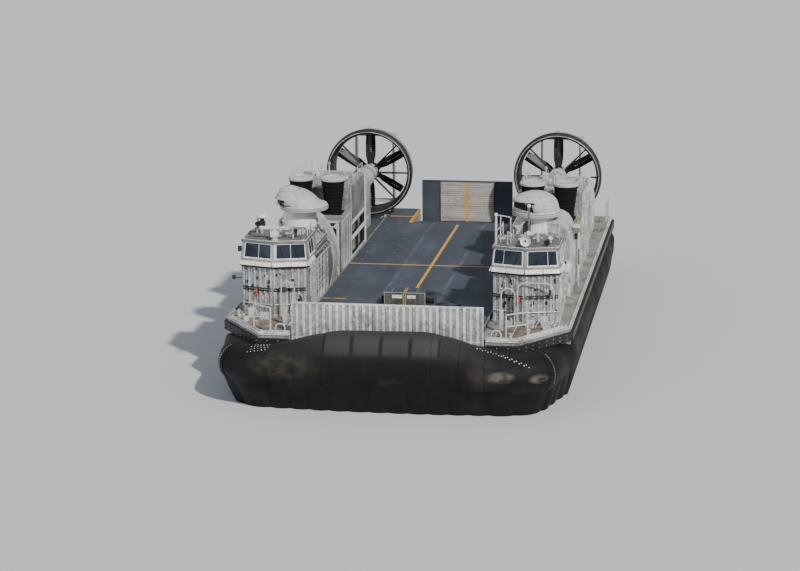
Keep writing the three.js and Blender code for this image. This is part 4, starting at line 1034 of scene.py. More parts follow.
def starboard_roof():
    """Mast with the dome, lamps, mirrors and rail on the starboard cabin."""
    z = CABIN["roof_z"]
    posts = Shape()
    posts.rod(-5.82, -8.45, (z, 6.5), 0.05, 10)
    posts.rod(-6.02, -8.45, (z, 6.5), 0.03, 10)
    posts.rod(-4.42, -8.9, (z, 6.26), 0.025)
    for y in (-7.1, -7.6, -8.1):
        posts.rod(-3.98, y, (z, 6.42), 0.018)
    posts.tube([(-3.98, -7.1, 6.4), (-3.98, -8.1, 6.4)], 0.015)
    posts.piece("starboard_roof_posts", "rail", slot="grey_paint")
    dome = Shape()
    outline = [(0.1, 0.0), (0.2, 0.02), (0.235, 0.07), (0.2, 0.13), (0.1, 0.17), (0.0, 0.18)]
    dome.turned(outline, 24, (-5.79, -8.45, 6.8))
    dome.piece("starboard_roof_dome", "white", slot="white_paint")
    dark_gear = Shape()
    lamp(dark_gear, (-5.98, -8.55, 6.58), 0.1, 0.16)
    lamp(dark_gear, (-4.3, -8.92, 6.4), 0.09, 0.12)
    for x, y, height in (
        ((-5.95, -5.68), (-8.55, -8.35), (6.48, 6.66)), ((-5.88, -5.72), (-8.5, -8.4), (6.66, 6.82)),
        ((-6.74, -6.6), (-8.98, -8.86), (5.48, 5.7)), ((-6.99, -6.87), (-9.02, -8.9), (4.3, 4.46)),
    ):
        dark_gear.block(x, y, height)
    dark_gear.tube([(-6.6, -8.92, 5.6), (-6.45, -8.92, 5.6)], 0.02)
    dark_gear.tube([(-6.9, -8.96, 4.36), (-6.6, -8.92, 4.36)], 0.02)
    dark_gear.piece("starboard_roof_lamps", "black", slot="white_paint", bevel=0.004)


def port_roof():
    """Searchlight, tall poles, rails and lamps on the port cabin."""
    z = CABIN["roof_z"]
    pole_y = -8.6
    posts = Shape()
    posts.rod(5.28, pole_y, (z, 7.69), 0.036, 10)
    posts.rod(3.94, pole_y, (z, 7.29), 0.05, 10)
    short_poles = (
        (4.13, pole_y, 7.2), (4.54, pole_y, 7.13), (4.05, -7.05, 6.6), (4.45, -8.9, 6.42), (4.6, -8.1, 6.5),
    )
    for x, y, top in short_poles:
        posts.rod(x, y, (z, top), 0.022)
    hoop = [(5.72, -7.5, z), (5.72, -7.5, 6.72), (6.42, -7.5, 6.72), (6.42, -7.5, z)]
    for path, radius in (
        ([(3.94, pole_y, 7.2), (4.13, pole_y, 7.19), (4.54, pole_y, 7.12)], 0.02),
        ([(3.94, pole_y, 6.55), (4.05, -7.6, 6.52), (4.05, -7.05, 6.52)], 0.016),
        (bend_corners(hoop, 0.12), 0.016), ([(4.35, -8.95, 6.42), (4.62, -8.95, 6.42)], 0.018),
    ):
        posts.tube(path, radius)
    posts.piece("port_roof_posts", "rail", slot="grey_paint")
    searchlight = (5.22, -9.2, 6.31)
    white = Shape()
    lamp(white, searchlight, 0.22, 0.26)
    lamp(white, (6.18, -8.5, 6.33), 0.1, 0.14)
    white.turned([(0.09, 0.0), (0.11, 0.06), (0.1, 0.13), (0.0, 0.17)], 16, (5.32, -9.0, 6.5))
    for x, top in ((5.28, 7.69), (3.94, 7.29)):
        white.turned([(0.05, 0.0), (0.07, 0.02), (0.07, 0.1), (0.0, 0.13)], 14, (x, pole_y, top - 0.13))
    white.piece("port_roof_lamps", "white", slot="white_paint")
    dark_gear = Shape()
    lamp(dark_gear, (6.06, -9.0, 6.19), 0.11, 0.18)
    dark_gear.turned([(0.045, -0.155), (0.05, -0.15), (0.0, -0.14)], 12, searchlight, "Y")
    dark_gear.piece("port_roof_dark_lamps", "black", slot="white_paint")


def door(side):
    """Window ring, kick plate, dogs and grab bar on the crew door. They ride on the door."""
    x = DOOR["face_x"]
    middle = DOOR["y"] + DOOR["width"] / 2 + 0.015
    pane_at = (x, middle, 4.45)
    inward = -SIDES[side]
    gear = Shape(side)
    gear.turned(flat_ring((0.14, 0.175), (0.0, inward * 0.018)), 28, pane_at, "X", loop=True)
    for z in (3.55, 4.0, 4.72):
        gear.block((x, x - 0.014), about(middle, 0.27), about(z, 0.02))
    for y in about(middle, 0.31):
        gear.block((x, x - 0.014), about(y, 0.02), (DOOR["low_z"] + 0.05, DOOR["high_z"] - 0.05))
    gear.block((x, x - 0.01), about(middle, 0.26), (3.2, 3.42))
    gear.piece(f"door_trim_{side}", "trim", f"cabin_door_{side}", slot="grey_paint", bevel=0.003)
    pane = Shape(side)
    pane.turned([(0.0, inward * 0.004), (0.14, inward * 0.006), (0.14, 0.0)], 28, pane_at, "X")
    pane.piece(f"door_window_{side}", "glass", f"cabin_door_{side}", slot="window_glass")


BOLLARD = ((0.08, 0.0), (0.08, 0.02), (0.055, 0.03), (0.055, 0.2), (0.09, 0.22), (0.09, 0.25), (0.0, 0.27))
LOCKERS = (
    # x, y, width, height
    (5.3, -10.0, 0.35, 0.3), (5.9, -9.75, 0.28, 0.42), (4.5, -9.85, 0.24, 0.22), (6.05, -10.35, 0.2, 0.2),
)


def foredeck(side):
    """Boards, bollards, coaming, small lockers and hoses in front of a cabin."""
    s = SIDES[side]
    boards = Shape(side)
    for k in range(11):
        y = -11.75 + k * 0.19
        boards.block((4.35, 5.0 + min(1.35, (y + 11.9) * 0.72)), about(y, 0.085), (FLOOR, FLOOR + 0.035))
    boards.piece(f"foredeck_boards_{side}", "floor", slot="hull_metal", bevel=0.006)
    gear = Shape(side)
    for x, y in ((4.9, -11.86), (5.55, -11.1), (6.3, -10.1), (6.62, -9.62)):
        gear.turned(BOLLARD, 16, (x, y, FLOOR))
    line = along_outline(s, -0.1, FLOOR, 0.3)[:14]
    lift = Vector((0, 0, 0.13))
    for a, b in zip(line[:-1], line[1:]):
        sheet = (a, b, b + lift, a + lift)
        gear.skin([sheet, [p + Vector((-s * 0.02, 0.015, 0)) for p in sheet]])
    for p in line[1:-1:2]:
        gear.block((abs(p.x), abs(p.x) - 0.05), (p.y, p.y + 0.12), (FLOOR, FLOOR + 0.12))
    for x, y, wide, high in LOCKERS:
        gear.block((x, x + wide), (y, y + 0.22), (FLOOR, FLOOR + high))
    gear.block((4.34, 4.5), (-10.84, -10.7), (FLOOR, 3.8))
    gear.piece(f"foredeck_gear_{side}", "trim", bevel=0.006)
    hoses = Shape(side)
    for k, (x, y) in enumerate(((4.62, -9.95), (5.7, -9.9), (6.45, -9.9))):
        turn = spread(-2.4, 2.4, 14)[3:9]
        loop = [(x + 0.13 * math.cos(a), y + 0.05 * k, FLOOR + 0.3 + 0.17 * math.sin(a)) for a in turn]
        hoses.tube(bend_corners([(x, y, FLOOR), *loop, (x - 0.1, y + 0.3, FLOOR)], 0.08), 0.02)
    hoses.piece(f"foredeck_hoses_{side}", "trim", slot="rubber")


# Fan casings and thrusters
def drum_outline(side, out=0.0):
    """The drum's cross outline as (x, z) from its inboard foot to its outboard foot, pushed out."""
    line = [Vector(p) for p in DRUM_INNER + DRUM_OUTER[side]]
    made = []
    for k, p in enumerate(line):
        along = line[min(k + 1, len(line) - 1)] - line[max(k - 1, 0)]
        made.append(p + Vector((-along.y, along.x)).normalized() * out)
    return [(SIDES[side] * p.x, p.y) for p in made]


def drum_sheet(shape, side, points, y, out):
    """A sheet over part of the drum: a slice of its outline's points, two ys and two distances out."""
    low, high = (drum_outline(side, o)[slice(*points)] for o in out)
    y0, y1 = y
    shape.skin([[(a, y0, b), (a, y1, b), (c, y1, d), (c, y0, d)] for (a, b), (c, d) in zip(low, high)])


def fan_casing(side):
    """Painted shoulder and bare band of the drum, dark sheets as painted shade in the bay before it and on
    the drum's inboard front, the bay's ribs, and flank gear.
    """
    turn = len(DRUM_INNER)
    count = turn + len(DRUM_OUTER[side])
    fore, drum, band_y, aft, box_z = (FAN[key] for key in ("fore_y", "drum_y", "band_y", "aft_y", "top_z"))
    inner, outer = FAN["box"]
    skin = Shape()
    drum_sheet(skin, side, (turn - 1, count), (drum - 0.012, aft + 0.012), (0.0008, 0.012))
    skin.piece(f"drum_skin_{side}", "grey", smooth=60)
    band = Shape()
    drum_sheet(band, side, (0, turn), (band_y, aft + 0.012), (0.0008, 0.014))
    for y in (band_y, aft - 0.025):
        drum_sheet(band, side, (0, count), (y, y + 0.035), (0.0008, 0.055))
    drum_sheet(band, side, (turn - 4, count), (drum - 0.03, drum - 0.013), (-0.1, 0.03))
    band.piece(f"drum_band_{side}", "plate", smooth=60)
    # Dark sheets on the inboard slope, the bay's inner wall and the drum's front: painted shade of the open
    # bay.
    shade_sheets = Shape(side)
    drum_sheet(shade_sheets, side, (0, turn), (drum - 0.012, band_y), (0.0008, 0.01))
    shade_sheets.block((inner - 0.01, inner - 0.0008), (fore, drum), (FLOOR + 0.3, box_z))
    shade_sheets.block((3.95, 4.55), (drum - 0.01, drum - 0.0008), (box_z, 5.55))
    shade_sheets.piece(f"fan_painted_shade_{side}", "engine", smooth=60)
    bars = Shape(side)
    for y, half in ((-6.6, 0.1), (-5.95, 0.08), (-5.15, 0.2), (-4.5, 0.06)):
        bars.block((inner, inner - 0.05), about(y, half), (FLOOR, 4.75))
    for z in spread(3.2, 5.25, 9):
        bars.block((inner, inner - 0.03), (fore, drum), about(z, 0.014))
    for k in range(5):
        top = (4.25 - 0.05 * k, fore + 0.1 + 0.55 * k, 5.8 - 0.05 * k)
        bars.tube([top, (inner - 0.06, fore + 1.7 + 0.45 * k, 4.75)], 0.026)
    bars.tube([(4.3, fore + 0.1, 5.75), (4.4, drum - 0.02, 5.55)], 0.03)
    bars.tube([(inner - 0.06, fore + 0.1, 4.78), (inner - 0.06, drum + 0.9, 4.72)], 0.03)
    bars.piece(f"fan_bay_bars_{side}", "trim")
    seams = Shape(side)
    for y in spread(fore + 0.3, aft - 0.3, 8):
        x = outer if y < drum else DRUM_OUTER[side][-1][0]
        seams.block((x, x + 0.03), about(y, 0.02), (FLOOR, 4.4))
    for z in (3.4, 4.1):
        seams.block((outer, outer + 0.03), (fore, drum), about(z, 0.02))
    seams.piece(f"fan_casing_seams_{side}", "plate")
    gear = Shape(side)
    pick = random.Random(91 + SIDES[side])
    scatter(gear, pick, 30, 6.46, (0.13, 0.18), (-6.5, -2.6), (3.0, 4.8), (0.08, 0.4), (0.06, 0.35))
    gear.piece(f"fan_casing_gear_{side}", "trim", bevel=0.005)
    t = THRUSTER
    low = t["neck_z"] - t["base_z"]
    # The neck's lighter paint is painted sunlight.
    neck = Shape(side)
    neck.turned([(0.702, low), (0.712, low), (0.712, -0.3), (0.728, -0.29), (0.728, -0.26), (0.712, -0.25),
                 (0.712, -0.03), (0.702, -0.02)], 64, (t["x"], t["y"], t["base_z"]), loop=True)
    neck.piece(f"thruster_neck_{side}", "neck")
    studs = Shape()
    for y in (band_y + 0.2, aft - 0.14):
        for x, z in drum_outline(side, 0.012)[1:]:
            studs.stud((x, y, z), (x - SIDES[side] * MID_X, 0, z - 4.3), 0.016, 0.012)
    studs.piece(f"drum_studs_{side}", "trim")


HOODS = {
    # yaw is the way the mouth faces, in plan; ring_x is how far the skirt ring lies off the turning axis
    "starboard": {
        "yaw": 172, "ring_x": -0.2, "mouth": {"from_x": 0.36, "y": (-0.72, 0.95), "z": (0.25, 0.47)},
        "gear": (
            # x, y, z, half size
            (0.4, 0.7, 0.24, 0.08), (0.58, 0.62, 0.3, 0.07), (0.34, 0.76, 0.34, 0.05), (0.7, 0.5, 0.26, 0.05),
        ),
        "rows": (
            # height, back end, front end, half width
            (0.24, -1.15, 1.04, 0.93), (0.37, -0.83, 1.11, 0.93), (0.48, -0.7, 1.08, 0.92),
            (0.6, -0.56, 1.0, 0.87), (0.74, -0.33, 0.92, 0.73), (0.83, 0.06, 0.85, 0.6),
            (0.9, 0.24, 0.78, 0.43), (0.97, 0.44, 0.64, 0.2),
        ),
    },
    "port": {
        "yaw": 217, "ring_x": 0.0, "mouth": {"from_x": 0.33, "y": (-0.78, 0.78), "z": (0.25, 0.66)},
        "gear": (),
        "rows": (
            (0.24, -0.95, 1.0, 0.95), (0.42, -0.93, 1.05, 0.94), (0.64, -0.85, 1.07, 0.87),
            (0.74, -0.76, 1.02, 0.79), (0.84, -0.64, 0.86, 0.68), (0.94, -0.42, 0.6, 0.48),
            (1.01, -0.2, 0.33, 0.24),
        ),
    },
}
HOOD_SKIRT = (
    # radius, height: a flared ring with two grooves
    (0.9, 0.0), (1.0, 0.0), (1.04, 0.03), (1.045, 0.075), (1.025, 0.083), (1.04, 0.092), (1.038, 0.155),
    (1.015, 0.163), (1.025, 0.172), (0.975, 0.25), (0.88, 0.262), (0.88, 0.2), (0.9, 0.1),
)


def hood_ring(side, height, out=0.0, count=48):
    """A level section of the hood, between the rows of the table."""
    rows = HOODS[side]["rows"]
    k = max(i for i in range(len(rows) - 1) if rows[i][0] <= height + 1e-9)
    t = (height - rows[k][0]) / (rows[k + 1][0] - rows[k][0])
    back, front, half = (lerp(a, b, t) for a, b in zip(rows[k][1:], rows[k + 1][1:]))
    middle, long = (front + back) / 2, (front - back) / 2 + out
    return [Vector((middle + long * math.cos(a), (half + out) * math.sin(a), height)) for a in around(count)]


def thruster(side):
    """The swivelling hood: a thin shell over a flared skirt ring, open under its front, with louvres."""
    t = THRUSTER
    hood = HOODS[side]
    mouth = hood["mouth"]
    top = mouth["z"][1]
    low, high = hood["rows"][0][0], hood["rows"][-1][0]
    ring_at = (hood["ring_x"], 0, 0)
    move = Matrix.Translation((SIDES[side] * t["x"], t["y"], t["base_z"]))
    move = move @ Matrix.Rotation(math.radians(hood["yaw"]), 4, "Z")

    def done(shape, name, look, **settings):
        return shape.piece(f"thruster_{name}_{side}", look, f"thruster_{side}", slot="grey_paint", **settings)

    rings = [hood_ring(side, h) for h in spread(low, high, 19)]
    crown = rings[-1]
    count = len(crown)
    centre = sum(crown, Vector()) / count
    rings.append([centre + (p - centre) * 0.5 + Vector((0, 0, 0.012)) for p in crown])
    faces = [tuple(range((len(rings) - 1) * count, len(rings) * count))]
    for i in range(len(rings) - 1):
        for j in range(count):
            k = (j + 1) % count
            spots = [rings[i][j], rings[i][k], rings[i + 1][j]]
            in_mouth = all(p.x > mouth["from_x"] and mouth["y"][0] < p.y < mouth["y"][1] for p in spots)
            if not (in_mouth and rings[i + 1][j].z <= top + 0.02):
                faces.append((i * count + j, i * count + k, (i + 1) * count + k, (i + 1) * count + j))
    shell = Shape(move=move)
    shell.add([p for ring in rings for p in ring], faces)
    made = done(shell, "hood", "grey", smooth=50, replaces=(f"thruster_nozzle_{side}",))
    thick = made.modifiers.new("sheet", "SOLIDIFY")
    thick.thickness = 0.03
    thick.offset = -1
    skirt = Shape(move=move)
    skirt.turned(HOOD_SKIRT, 72, ring_at, loop=True)
    done(skirt, "skirt", "grey")
    seams = Shape(move=move)
    for k, first in ((5, 8), (11, 0), (16, 0), (24, 0), (32, 0), (37, 0), (43, 8)):
        seams.tube([ring[k] for ring in rings[first:]], 0.01, 6)
    for share in (0.55, 0.8):
        seams.tube(hood_ring(side, lerp(low, high, share)), 0.009, 6, loop=True)
    done(seams, "hood_seams", "wall")
    # Black rings in the skirt's grooves and along the shell's lower edge: painted shade lines.
    shade_lines = Shape(move=move)
    for z, r in ((0.087, 1.043), (0.163, 1.037)):
        shade_lines.turned(flat_ring((r - 0.02, r), about(z, 0.006)), 72, ring_at, loop=True)
    shade_lines.tube(hood_ring(side, low + 0.002, 0.006), 0.01, 6, loop=True)
    done(shade_lines, "hood_shade_lines", "black")
    vanes = Shape(move=move)
    for y in spread(-0.55, 0.55, 7):
        vanes.block((0.42, 0.8), about(y, 0.008), (0.27, top))
    vanes.block((0.78, 0.83), (-0.6, 0.6), about(lerp(0.29, top, 0.7), 0.01))
    done(vanes, "louvres", "engine", bevel=0.003)
    sill = Shape(move=move)
    sill.block((0.78, 0.84), (-0.6, 0.6), (0.26, 0.3))
    sill.tube([(0.62, y, 0.42 + 0.06 * math.cos(3 * y)) for y in spread(-0.5, 0.5, 9)], 0.035)
    done(sill, "mouth_sill", "white", bevel=0.003)
    # Black inside the hood: the ring under the skirt and the wall across the mouth are painted shade; the
    # core and small blocks are dark mechanism.
    inside = Shape(move=move)
    core = [(0.46, 0.03), (0.62, 0.03), (0.6, 0.2), (0.42, 0.34), (0.2, 0.4), (0.0, 0.42)]
    inside.turned(core, 32, (0, 0, 0))
    inside.turned(flat_ring((0.74, 0.91), (0.002, 0.03)), 64, ring_at, loop=True)
    inside.block((0.36, 0.39), (-0.72, 0.72), (0.05, 0.5))
    for x, y, z, half in hood["gear"]:
        inside.block(about(x, half), about(y, half), about(z, half))
    done(inside, "inside", "black")


def middle_frame(side):
    """Posts and beams of the open bay between fan casing and engine module, with its pipes."""
    posts = Shape(side)
    for x, y in ((3.98, -1.28), (4.6, -1.28), (5.5, -1.28), (6.35, -1.28), (3.86, -1.75), (6.45, -1.85)):
        posts.block(about(x, 0.035), about(y, 0.035), (FLOOR, 5.2))
    for z in (4.93, 5.18):
        posts.block((3.9, 6.45), (-1.32, -1.24), about(z, 0.045))
    for x in (3.98, 6.35):
        posts.block(about(x, 0.03), (-1.95, -1.25), (5.08, 5.15))
    posts.piece(f"middle_frame_{side}", "rib", bevel=0.006)
    # A dark sheet on the engine module's front, behind the open bay: painted shade.
    back = Shape(side)
    fore = ENGINE_BAY["fore_y"]
    back.block((3.85, 6.57), (fore - 0.02, fore - 0.002), (FLOOR + 0.05, ENGINE_BAY["low_z"] - 0.06))
    back.piece(f"engine_module_front_{side}", "engine")
    pipes = Shape(side)
    for k, x in enumerate(spread(4.2, 6.2, 6)):
        pipes.tube(bend_corners([(x, -1.95, 3.4 + 0.2 * k), (x, -1.5, 3.5 + 0.2 * k), (x, -1.45, 4.7),
                                 (x, -1.18, 4.75)], 0.12), 0.045, 8)
    pipes.piece(f"middle_pipes_{side}", "grey")


# Engine modules and stacks
def scatter(shape, pick, count, wall, out, y, z, long, tall, lid=(-99, 0)):
    """Small boxes on a wall. The ranges say how far they stand out, their low corner, length and height.
    Before lid's y they start no higher than its z."""
    for _ in range(count):
        a, b = pick.uniform(*y), pick.uniform(*z)
        b = min(b, lid[1]) if a < lid[0] else b
        x, y1, z1 = wall + pick.uniform(*out), a + pick.uniform(*long), b + pick.uniform(*tall)
        shape.block((wall, x), (a, y1), (b, z1))


def engine_module(side):
    """Bars, gallery, wall panels, roof rails, small gear, vents and pipes of an engine module."""
    inner, outer = SIDE["inner_x"], SIDE["outer_x"]
    step, low, high = ENGINE_BAY["step_y"], ENGINE_BAY["low_z"], ENGINE_BAY["high_z"]
    fore, aft = -1.1, 4.82
    bars = Shape(side)
    for y, half in ((-1.08, 0.035), (-0.72, 0.03), (-0.3, 0.03), (0.12, 0.03), (0.6, 0.035), (1.12, 0.05)):
        bars.block((inner, inner - 0.035), about(y, half), (FLOOR, low if y < step else high))
    for z, end in ((3.06, aft), (5.16, 1.1)):
        bars.block((inner, inner - 0.045), (fore, end), about(z, 0.035))
    for y in spread(-0.9, 4.6, 12):
        bars.block((outer, outer + 0.025), about(y, 0.025), (FLOOR, low if y < step else high))
    for z in (3.3, 4.2, 5.1):
        bars.block((outer, outer + 0.03), (fore, aft), about(z, 0.025))
    edges = Shape(side)
    post = (4.72, 4.84)
    for y, z in (((1.1, post[0]), (3.83, 3.99)), ((1.1, post[0]), (4.54, 4.66)), (post, (FLOOR, high))):
        edges.block((inner, inner - 0.05), y, z)
    # The rails take the lighter neck paint: painted light.
    edges.piece(f"gallery_rails_{side}", "neck", bevel=0.008)
    bars.piece(f"engine_module_bars_{side}", "trim", bevel=0.006)
    wall = Shape(side)
    for y, z in (((1.2, 4.7), (4.68, high - 0.02)), ((2.88, 3.1), (3.1, 4.55)), ((-1.0, 1.05), (3.12, 5.1))):
        wall.block((inner + 0.002, inner - 0.008), y, z)
    wall.piece(f"engine_module_wall_{side}", "panel")
    # Black strips on the far side and sill of each gallery opening: painted shade inside the openings.
    opening_shade = Shape(side)
    for y0, y1 in ((1.35, 2.9), (3.08, 4.6)):
        for z0, z1 in ((3.12, 3.8), (4.02, 4.52)):
            opening_shade.block((inner + 0.004, inner + 0.118), (y1 - 0.006, y1 - 0.001), (z0 + 0.001, z1 - 0.001))
            opening_shade.block((inner + 0.004, inner + 0.118), (y0 + 0.001, y1 - 0.006), (z0 + 0.001, z0 + 0.006))
    opening_shade.piece(f"gallery_opening_shade_{side}", "black")
    rails = Shape(side)
    for x in (3.9, 6.5):
        for y in (1.15, 2.3, 3.5, 4.75):
            rails.rod(x, y, (high - 0.02, high + 0.5), 0.018)
        for z in (6.5, 6.74):
            rails.tube([(x, 1.15, z), (x, 4.75, z)], 0.014, 8)
    rails.piece(f"engine_module_rails_{side}", "trim")
    gear = Shape(side)
    pick = random.Random(131 + SIDES[side])
    lid = (step + 0.1, 4.9)
    scatter(gear, pick, 26, outer, (0.03, 0.09), (-1.0, 4.5), (3.0, 5.9), (0.08, 0.5), (0.06, 0.28), lid)
    for _ in range(22):
        x, y = pick.uniform(4.0, 6.2), pick.uniform(1.3, 4.4)
        gear.block((x, x + pick.uniform(0.1, 0.35)), (y, y + pick.uniform(0.1, 0.35)),
                   (high - 0.01, high + pick.uniform(0.05, 0.2)))
    gear.piece(f"engine_module_gear_{side}", "trim", bevel=0.006)
    vents = Shape(side)
    for y0, y1, z0, z1 in ((-0.85, 0.2, 3.5, 4.6), (1.5, 2.8, 4.4, 5.7), (3.1, 4.4, 4.4, 5.7)):
        for z in spread(z0, z1, 12):
            lip = outer + 0.05
            slat = ((outer, z - 0.03), (lip, z - 0.06), (lip, z - 0.048), (outer, z - 0.018))
            vents.skin([[(vents.s * x, y, h) for x, h in slat] for y in (y0, y1)])
        for y in (y0 - 0.03, y1 + 0.03):
            vents.block((outer, outer + 0.06), about(y, 0.03), (z0 - 0.12, z1 + 0.06))
        for z in (z0 - 0.12, z1 + 0.06):
            vents.block((outer, outer + 0.06), (y0 - 0.06, y1 + 0.06), about(z, 0.03))
    vents.piece(f"engine_module_vents_{side}", "plate")
    inside = Shape(side)
    pick = random.Random(151 + SIDES[side])
    scatter(inside, pick, 14, 4.7, (-0.03, -0.18), (1.5, 3.9), (3.0, 3.9), (0.1, 0.4), (0.08, 0.25))
    for y in spread(1.7, 3.8, 5):
        path = [(4.7, y, 3.6), (4.3, y, 3.7), (4.25, y, 4.8), (4.8, y + 0.1, 5.6)]
        inside.tube(bend_corners(path, 0.15), 0.05, 10)
    inside.piece(f"engine_pipes_{side}", "engine", slot="engine_metal", bevel=0.006)


MODULE_MASTS = (
    # x, y, top
    (5.71, 2.0, 7.28), (5.29, 2.0, 7.06), (4.92, 2.0, 7.25), (4.1, 1.2, 7.0),
)


def stacks(side):
    """Black ribbed covers on the exhaust stacks, under light caps, and the masts on the module's roof."""
    low, top, y = ENGINE_BAY["low_z"], STACK["top_z"], STACK["y"]
    cover = [(0.33, low + 0.02)]
    for z in spread(low + 0.1, top - 0.19, 9):
        r = lerp(0.345, 0.55, (z - low) / (top - low))
        cover += [(r - 0.012, z - 0.05), (r + 0.012, z), (r - 0.008, z + 0.03)]
    cover += [(0.54, top - 0.145), (0.3, top - 0.13)]
    cap = [(0.53, top - 0.15), (0.57, top - 0.14), (0.58, top - 0.1), (0.575, top - 0.04),
           (0.53, top - 0.005), (0.44, top), (0.42, top - 0.05), (0.0, top - 0.045)]
    covers = Shape(side)
    caps = Shape(side)
    for x in STACK["xs"]:
        covers.turned(cover, 48, (x, y, 0))
        caps.turned(cap, 48, (x, y, 0))
        for a in around(8):
            lug_x, lug_y = x + 0.5 * math.cos(a), y + 0.5 * math.sin(a)
            caps.block(about(lug_x, 0.02), about(lug_y, 0.02), (top - 0.03, top + 0.015))
    first, last = STACK["xs"]
    covers.block((first - 0.42, last + 0.42), about(y, 0.45), (low + 0.0005, low + 0.06))
    covers.piece(f"stack_covers_{side}", "cover", slot="black_cover", smooth=60, replaces=(f"stacks_{side}",))
    caps.piece(f"stack_caps_{side}", "grey", slot="grey_paint")
    masts = Shape(side)
    for x, mast_y, tip in MODULE_MASTS:
        masts.rod(x, mast_y, (ENGINE_BAY["high_z"] - 0.02, tip), 0.028)
        masts.turned([(0.05, 0.0), (0.06, 0.03), (0.06, 0.1), (0.0, 0.13)], 12, (x, mast_y, tip - 0.13))
    masts.piece(f"module_masts_{side}", "trim", slot="grey_paint")


# Aft modules, ducts, propellers and rudders
def aft_module(side):
    """Seams, floor, small gear and rails of the gearbox and shaft housing."""
    inner, outer, fore, aft = (AFT[key] for key in ("inner_x", "outer_x", "fore_y", "aft_y"))
    fore_z, aft_z = AFT["fore_z"], AFT["aft_z"]
    slope = [(fore, fore_z), (7.4, fore_z - 0.15), (9.0, aft_z + 0.5), (aft, aft_z)]
    seams = Shape(side)
    for y in spread(fore + 0.12, aft - 0.12, 13):
        (y0, z0), (y1, z1) = next(pair for pair in zip(slope, slope[1:]) if y <= pair[1][0])
        top = lerp(z0, z1, (y - y0) / (y1 - y0))
        seams.block((outer, outer + 0.03), about(y, 0.025), (FLOOR, top))
        seams.tube([(inner, y, top + 0.004), (outer, y, top + 0.004)], 0.016, 6)
    for z in (3.3, 4.2):
        seams.block((outer, outer + 0.036), (fore, aft), about(z, 0.025))
    for y in (5.3, 5.9, 6.5, 7.1, 7.7, 8.3, 8.9, 9.35):
        seams.turned(flat_ring((0.432, 0.45), (-0.02, 0.02)), 40, (DUCT["x"], y, DUCT["z"]), "Y", loop=True)
    seams.piece(f"aft_module_seams_{side}", "trim", bevel=0.004)
    floor = Shape(side)
    floor.block((3.78, inner - 0.01), (fore - 0.03, 12.5), (FLOOR - 0.002, FLOOR + 0.004))
    floor.piece(f"aft_floor_{side}", "deck", slot="deck_coating")
    gear = Shape(side)
    pick = random.Random(171 + SIDES[side])
    scatter(gear, pick, 14, outer, (0.04, 0.1), (5.0, 8.4), (3.0, 4.3), (0.1, 0.5), (0.08, 0.35))
    scatter(gear, pick, 9, 4.3, (-0.03, -0.1), (5.3, 8.8), (3.0, 4.5), (0.1, 0.4), (0.08, 0.3))
    gear.piece(f"aft_module_gear_{side}", "plate", bevel=0.006)
    rails = Shape(side)
    for y in spread(5.2, 9.6, 5):
        rails.tube([(6.5, y, FLOOR), (6.5, y, FLOOR + 0.02)], 0.03)
    for y in spread(10.4, 12.3, 4):
        rails.tube([(6.98, y, FLOOR), (6.98, y, 3.85)], 0.018)
    for z in (3.35, 3.84):
        rails.tube([(6.98, 10.4, z), (6.98, 12.3, z)], 0.015)
    rails.piece(f"aft_rails_{side}", "trim")


# Turned outlines of the ducts: radius, y
DUCT_LIP = (
    (1.838, 11.2), (1.85, 10.95), (1.87, 10.79), (1.9, 10.68), (1.945, 10.615), (1.99, 10.6), (2.05, 10.625),
    (2.1, 10.7), (2.12, 10.8), (2.12, 10.92), (2.1, 11.0), (2.08, 11.0), (1.9, 11.15),
)
DUCT_LINER = ((1.832, 11.19), (1.85, 12.05), (1.93, 12.05), (1.9, 11.5), (1.88, 11.19))
DUCT_SKIN = (
    (2.09, 10.99), (2.1, 11.02), (2.07, 11.15), (2.02, 11.6), (1.96, 11.9), (1.935, 12.05), (1.9, 12.05),
    (1.9, 11.6), (2.0, 11.0),
)
BEARING = (
    (0.0, 10.351), (0.36, 10.351), (0.41, 10.42), (0.41, 10.99), (0.15, 10.994), (0.15, 10.9997),
    (0.0, 10.9997),
)


